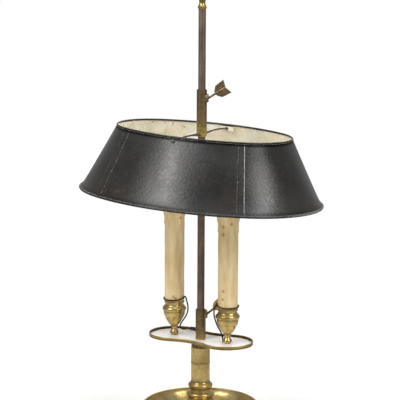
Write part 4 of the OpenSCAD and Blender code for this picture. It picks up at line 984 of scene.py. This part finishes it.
# Paint on the inside: patches of painted glare, a white highlight, on the back panel, and stains on any, in
# the same terms
glarePatches = [(9, 6, 10, 6, 0.8)]
stains = [("left", -44.7, 3, 1.2, 3, 1.0), ("left", -58.3, 4, 1, 3, 0.8), ("back", 27, 6.4, 1.5, 5, 1.0),
          ("left", -20, 8, 8, 6, 0.5), ("back", 22, 9, 4, 9, 0.5), ("right", 20, 12, 9, 8, 0.4)]


def shadePlace(points):
    turning = turn("z", shade["turn"]) @ turn("y", shade["lean"])
    return (points + [shade["off"], 0, 0]) @ turning.T + [0, 0, armZ]


def wallShells(panel):
    # A sector of a cone: rho = r + (up - z) × slope, moved in and out by its seams, slow dents and curl
    cx, cy, r, middle, half = arcs[panel]
    top = shade["up"] - shade["wire"] - 0.05
    low = shade["up"] - shade["height"] + shade["wire"] + 0.05
    near = np.linspace(-0.7, 0.7, 21)[:, None]
    lines = seamLines if panel in ("front", "back") else []
    lineAt = [degrees for degrees, *rest in lines]
    t = np.union1d(np.linspace(-1, 1, int(half * r / 45)), ((near + lineAt) / half).ravel())
    t = t[np.abs(t) <= 1]
    z = top - (top - low) * np.linspace(0, 1, 60)[:, None]**1.2
    bend = (shade["up"] - z) * slopeRun
    rho = r + bend
    angle = np.radians(middle + half * t)[None, :] + 0 * z
    down = np.hypot(shade["up"] - z, bend) + 0 * t

    def off(degrees):
        # distance in mm along the wall from a line down the panel
        return np.radians(half * t - degrees) * rho

    def patch(degrees, depth, wide, high, strength):
        return strength * np.exp(-((off(degrees) / wide)**2 + ((down - depth) / high)**2))

    worn, bead = 0 * angle, 0 * angle
    for degrees, wear, halfWide, high in lines:
        patchy = 0.85 + 0.15 * np.sin(down / 3.7 + degrees) * np.sin(down / 9 - degrees)
        worn = worn + wear * patchy * np.exp(-(off(degrees) / halfWide)**2)
        bead = bead + high * np.exp(-(off(degrees) / 0.7)**2)
    dents = 0.3 * np.sin(half * t / 6.5 + r) * np.sin((z + 9) / 17 + t * 4) * (1 - t**2)
    curl = -shade["curl"] * (1 - np.exp(-(z - low) / 4.5)) * ((top - z) / (top - low))**0.7
    fade = np.clip((top - z) / 3, 0, 1) * np.clip((z - low) / 3, 0, 1)
    lift = (bead + dents) * fade + curl

    def wall(radius):
        points = np.stack([cx + radius * np.cos(angle), cy + radius * np.sin(angle), z + 0 * angle], -1)
        return shadePlace(points)

    dulled = sum([patch(*rest) for name, *rest in patches if name == panel], 0 * angle)
    stained = sum([patch(*rest) for name, *rest in stains if name == panel], 0 * angle)
    fresh = sum([patch(*rest) for rest in glarePatches if panel == "back"], 0 * angle)
    if panel == "back":
        # a wedge of painted glare, a white highlight, whose edge runs down the wall by 2.4 mm for each degree
        edge = down - 10 - 2.4 * (half * t - 15.3) + 0.6 * np.sin(down * 1.9) + 0.4 * np.sin(half * t * 7)
        fresh = fresh + np.clip(edge / 1.2, 0, 1) * np.clip((half * t - 11.5) / 2, 0, 1)
    fresh = np.clip(1.6 * fresh - 0.3, 0, 1)
    shaded = sum([patch(*rest) for name, *rest in paintedShadePatches if name == panel], 0 * angle)
    shaded = shaded + 1.2 * np.exp(-((down - 2.7) / 1.7)**2) + 0.6 * np.exp(-((z - low - 2.2) / 1.0)**2)
    chip = 1.2 * np.exp(-((off(1.3) / 10.5)**4 + ((down - 2.6) / 1.8)**4)) if panel == "back" else 0
    chipped = 0.2 * np.exp(-down / 1.6) + 0.5 * np.exp(-(z - low) / 2.0) - 0.2 + chip + 0 * t
    return sheetShells(wall(rho + lift), wall(rho - sheetWide + lift), dulled=dulled,
                       rubbed=worn * (0.4 + fade), chipped=chipped, fresh=fresh, stained=stained,
                       shaded=np.clip(shaded, 0, 1))


def ovalLine(out):
    # once round the oval, out from its top rim: out may be an array, for the rings of a wire
    pieces = []
    for cx, cy, r, middle, half in arcs.values():
        angle = np.radians(middle + np.linspace(-half, half, int(half * 2) + 1)[:-1])
        radius = r + np.asarray(out, float)[..., None]
        pieces.append(np.stack([cx + radius * np.cos(angle), cy + radius * np.sin(angle)], -1))
    return np.concatenate(pieces, axis=-2)


def rimShell(out, z, thick, worn, ends):
    # A wire with the sheet rolled round it: a circle carried round the oval. Its crown is rubbed bright, by
    # worn all round and by ends at the two far ends.
    angle = 2 * np.pi * np.arange(28) / 28
    flat = ovalLine(out + thick * np.cos(angle))
    height = (z + thick * np.sin(angle))[:, None] + 0 * flat[..., 0]
    points = np.concatenate([flat, height[..., None]], -1)
    far = np.abs(flat[..., 0]) / (shade["halfLength"] + out)
    crown = np.exp(-angleFrom(angle, math.radians(60 if z > 0 else 20))**2 / 0.35)[:, None]
    rubbed = crown * (worn + ends * np.clip((far - 0.72) / 0.2, 0, 1) + 0.1 * np.sin(flat[..., 0] / 9 + 2))
    below = np.clip(-np.sin(angle), 0, 1)[:, None] + 0 * far
    return {"points": shadePlace(points), "quads": gridQuads(*flat.shape[:2], True, True), "rubbed": rubbed,
            "shaded": 0.7 * below}


def armShell(side):
    # A thin bowed rod: a low arc out to its stop collar, a straight pin through the lug and the wall, and a
    # round head outside
    r, root, taper, bow, head = (arm[size] for size in ("r", "root", "taper", "bow", "headR"))
    levelB = shade["halfWidth"] + shade["up"] * slopeRun    # of the wall's outside at the height of the arms
    end = levelB + head * slopeRun + 0.3
    pin = levelB - sheetWide - shade["lugT"] - 1.5
    chord = pin - sleeve["out"]
    bowR = (chord**2 / 4 + bow**2) / (2 * bow)
    x = np.linspace(0, chord, 60)
    bowZ = np.sqrt(bowR**2 - (x - chord / 2)**2) - bowR + bow
    bowed = np.stack([sleeve["out"] + x, 0 * x, bowZ], -1)
    route = np.vstack([[(sleeve["out"] - 0.6, 0, -0.05)], bowed, [(pin + 1, 0, 0), (end + 2, 0, 0)]])
    at = lengthsAlong(route)
    pinAt, endAt = at[-3], at[-1] - 2
    dome = arcLine((0, endAt), 1, 0, 90, 8) * [head, 1]
    outline = np.vstack([[(0, 0), (root + 0.4, 0), (root + 0.4, 1.5), (root + 0.1, 1.8), (root, 2.2),
                          (root - 0.35, taper * 0.35), (r + 0.15, taper * 0.75), (r, taper),
                          (r, pinAt - 1.6), (r + 0.8, pinAt - 1.2), (r + 0.8, pinAt + 1.2),
                          (r, pinAt + 1.2), (r, endAt), (head, endAt)], dome[1:]])
    shell = bentShell(outline, route, (0, 1, 0), 28, 0.5)
    far = shell["points"][..., 0]
    shell["rubbed"] = 0.1 + 0.4 * np.exp(-far / 12)
    reach = shell["points"].reshape(-1, 3)[shell["quads"], 0].min(1)
    shell["paint"] = (reach > end - 0.2).astype(int)    # the head outside is painted like the wall
    # the head takes the grey haze of the wall around it, a painted highlight
    shell["dulled"] = 1.3 * (far > end - 0.4)
    return placed(shell, turn("z", shade["turn"] + side * 90), (0, 0, armZ))


for panel in arcs:
    makePiece(panel + "Panel", wallShells(panel), ["tole", "cream"], "shade", "shade_panel_" + panel,
              sharp=50)
topWire = rimShell(-sheetWide / 2, shade["up"], shade["wire"], 0.34, 0.15)
bottomWire = rimShell(shade["flare"] + shade["lip"] - sheetWide, shade["up"] - shade["height"],
                      shade["bottomWire"], 0.06, 0.6)
makePiece("topRim", [topWire], ["tole"], "shade", "shade_top_wire")
makePiece("bottomRim", [bottomWire], ["tole"], "shade", "shade_bottom_wire")
for name, side in (("front", -1), ("back", 1)):
    makePiece(name + "Arm", [armShell(side)], ["brownBrass", "tole"], "shade_carrier", "shade_arm_" + name)
print("shade made")

# ---- the frame's own nodes that stay ----
nodeFinishes = {
    "agedBrass": ["base_ring"],
    "iron": ["base_weight", "rod_washer", "rod_nut", "cup_screws"],
    "felt": ["base_felt"],
    "rubber": ["inlet_grommet"],
    "porcelain": ["terminal_block", "lampholder_left", "lampholder_right"],
    "brownBrass": ["tray_liner", "tray_nut", "cup_nuts", "shade_liner"],
    "mirror": ["tray_plate"],
    "collar": ["tray_collar"],
    "cream": ["shade_lug_front", "shade_lug_back"],
    "tube": ["holder_stems"],
    "cap": ["bulb_caps"],
}
for finish, names in nodeFinishes.items():
    for name in names:
        for slot in nodes[name].material_slots:
            slot.material = finishes[finish]
print("nodes dressed")

# ---- floor, background and lights ----
studio = {
    "floorR": 900, "fadeFrom": 200, "fadeTo": 620,    # the floor melts into the white background
    "ambient": 0.42,
    # What gloss mirrors: behind the lamp, elsewhere, and the cosines to the camera's side between which one
    # melts into the other
    "backdrop": 0.5, "room": 0.3, "backdropEnds": (-0.85, -0.35),
    "lamps": [
        # name, azimuth, elevation, distance, width, height, watts
        ("leftBox", -19, 40, 1600, 520, 900, 15),
        ("rightBox", 80, 38, 1600, 520, 900, 14),
        ("overhead", 30, 80, 1500, 900, 900, 8),
        ("backFill", 205, 35, 1900, 900, 900, 7),
    ],
}


def makeFloor():
    angle = 2 * np.pi * np.arange(64) / 64
    radius = np.linspace(0, studio["floorR"], 12)[:, None]
    points = np.stack([radius * np.cos(angle), radius * np.sin(angle), 0 * radius * angle], -1)
    mesh = bpy.data.meshes.new("studioFloor")
    mesh.from_pydata((points.reshape(-1, 3) * mm).tolist(), [], gridQuads(12, 64, False, True).tolist())
    floor = bpy.data.objects.new("studioFloor", mesh)
    bpy.context.scene.collection.objects.link(floor)
    material = bpy.data.materials.new("paleFloor")
    material.use_nodes = True
    tree = material.node_tree
    tree.nodes.clear()
    place = addNode(tree, "TexCoord").outputs["Object"]
    away = addNode(tree, "VectorMath", {0: place}, operation="LENGTH").outputs["Value"]
    fade = addNode(tree, "MapRange", {"Value": away, "From Min": studio["fadeFrom"] * mm,
                                      "From Max": studio["fadeTo"] * mm}, interpolation_type="SMOOTHSTEP")
    pale = addNode(tree, "BsdfDiffuse", {"Color": paint("#fafafa")}).outputs[0]
    clear = addNode(tree, "BsdfTransparent").outputs[0]
    both = addNode(tree, "MixShader", {0: fade.outputs[0], 1: pale, 2: clear}).outputs[0]
    addNode(tree, "OutputMaterial", {"Surface": both})
    mesh.materials.append(material)


def makeWorld():
    world = bpy.data.worlds.new("whiteStudio")
    bpy.context.scene.world = world
    world.use_nodes = True
    tree = world.node_tree
    tree.nodes.clear()
    path = addNode(tree, "LightPath").outputs
    ray = addNode(tree, "TexCoord").outputs["Generated"]
    back = directionOf(view["azimuth"], view["elevation"])
    toward = addNode(tree, "VectorMath", {0: ray, 1: tuple(back)}, operation="DOT_PRODUCT").outputs["Value"]
    ends = studio["backdropEnds"]
    mirrored = addNode(tree, "MapRange", {"Value": toward, "From Min": ends[0], "From Max": ends[1],
                                          "To Min": studio["backdrop"],
                                          "To Max": studio["room"]}).outputs[0]
    gloss = addNode(tree, "Math", {0: path["Is Glossy Ray"], 1: mirrored}, operation="MULTIPLY").outputs[0]
    clear = addNode(tree, "Math", {0: path["Is Camera Ray"], 1: path["Is Transmission Ray"]},
                    operation="MAXIMUM").outputs[0]
    seen = addNode(tree, "Math", {0: gloss, 1: clear}, operation="MAXIMUM").outputs[0]
    strength = addNode(tree, "Math", {0: seen, 1: studio["ambient"]}, operation="MAXIMUM")
    light = addNode(tree, "Background", {"Color": (1, 1, 1, 1), "Strength": strength.outputs[0]})
    addNode(tree, "OutputWorld", {"Surface": light.outputs[0]})


def makeLamps():
    target = Vector((0, 0, 0.3))
    for name, azimuth, elevation, distance, width, height, watts in studio["lamps"]:
        data = bpy.data.lights.new(name, "AREA")
        data.shape, data.size, data.size_y, data.energy = "RECTANGLE", width * mm, height * mm, watts
        lamp = bpy.data.objects.new(name, data)
        away = directionOf(azimuth, elevation)
        lamp.location = target + away * distance * mm
        lamp.rotation_mode = "QUATERNION"
        lamp.rotation_quaternion = away.to_track_quat("Z", "Y")
        bpy.context.scene.collection.objects.link(lamp)


makeFloor()
makeWorld()
makeLamps()
bpy.context.scene.view_settings.view_transform = "Standard"
print("studio made")
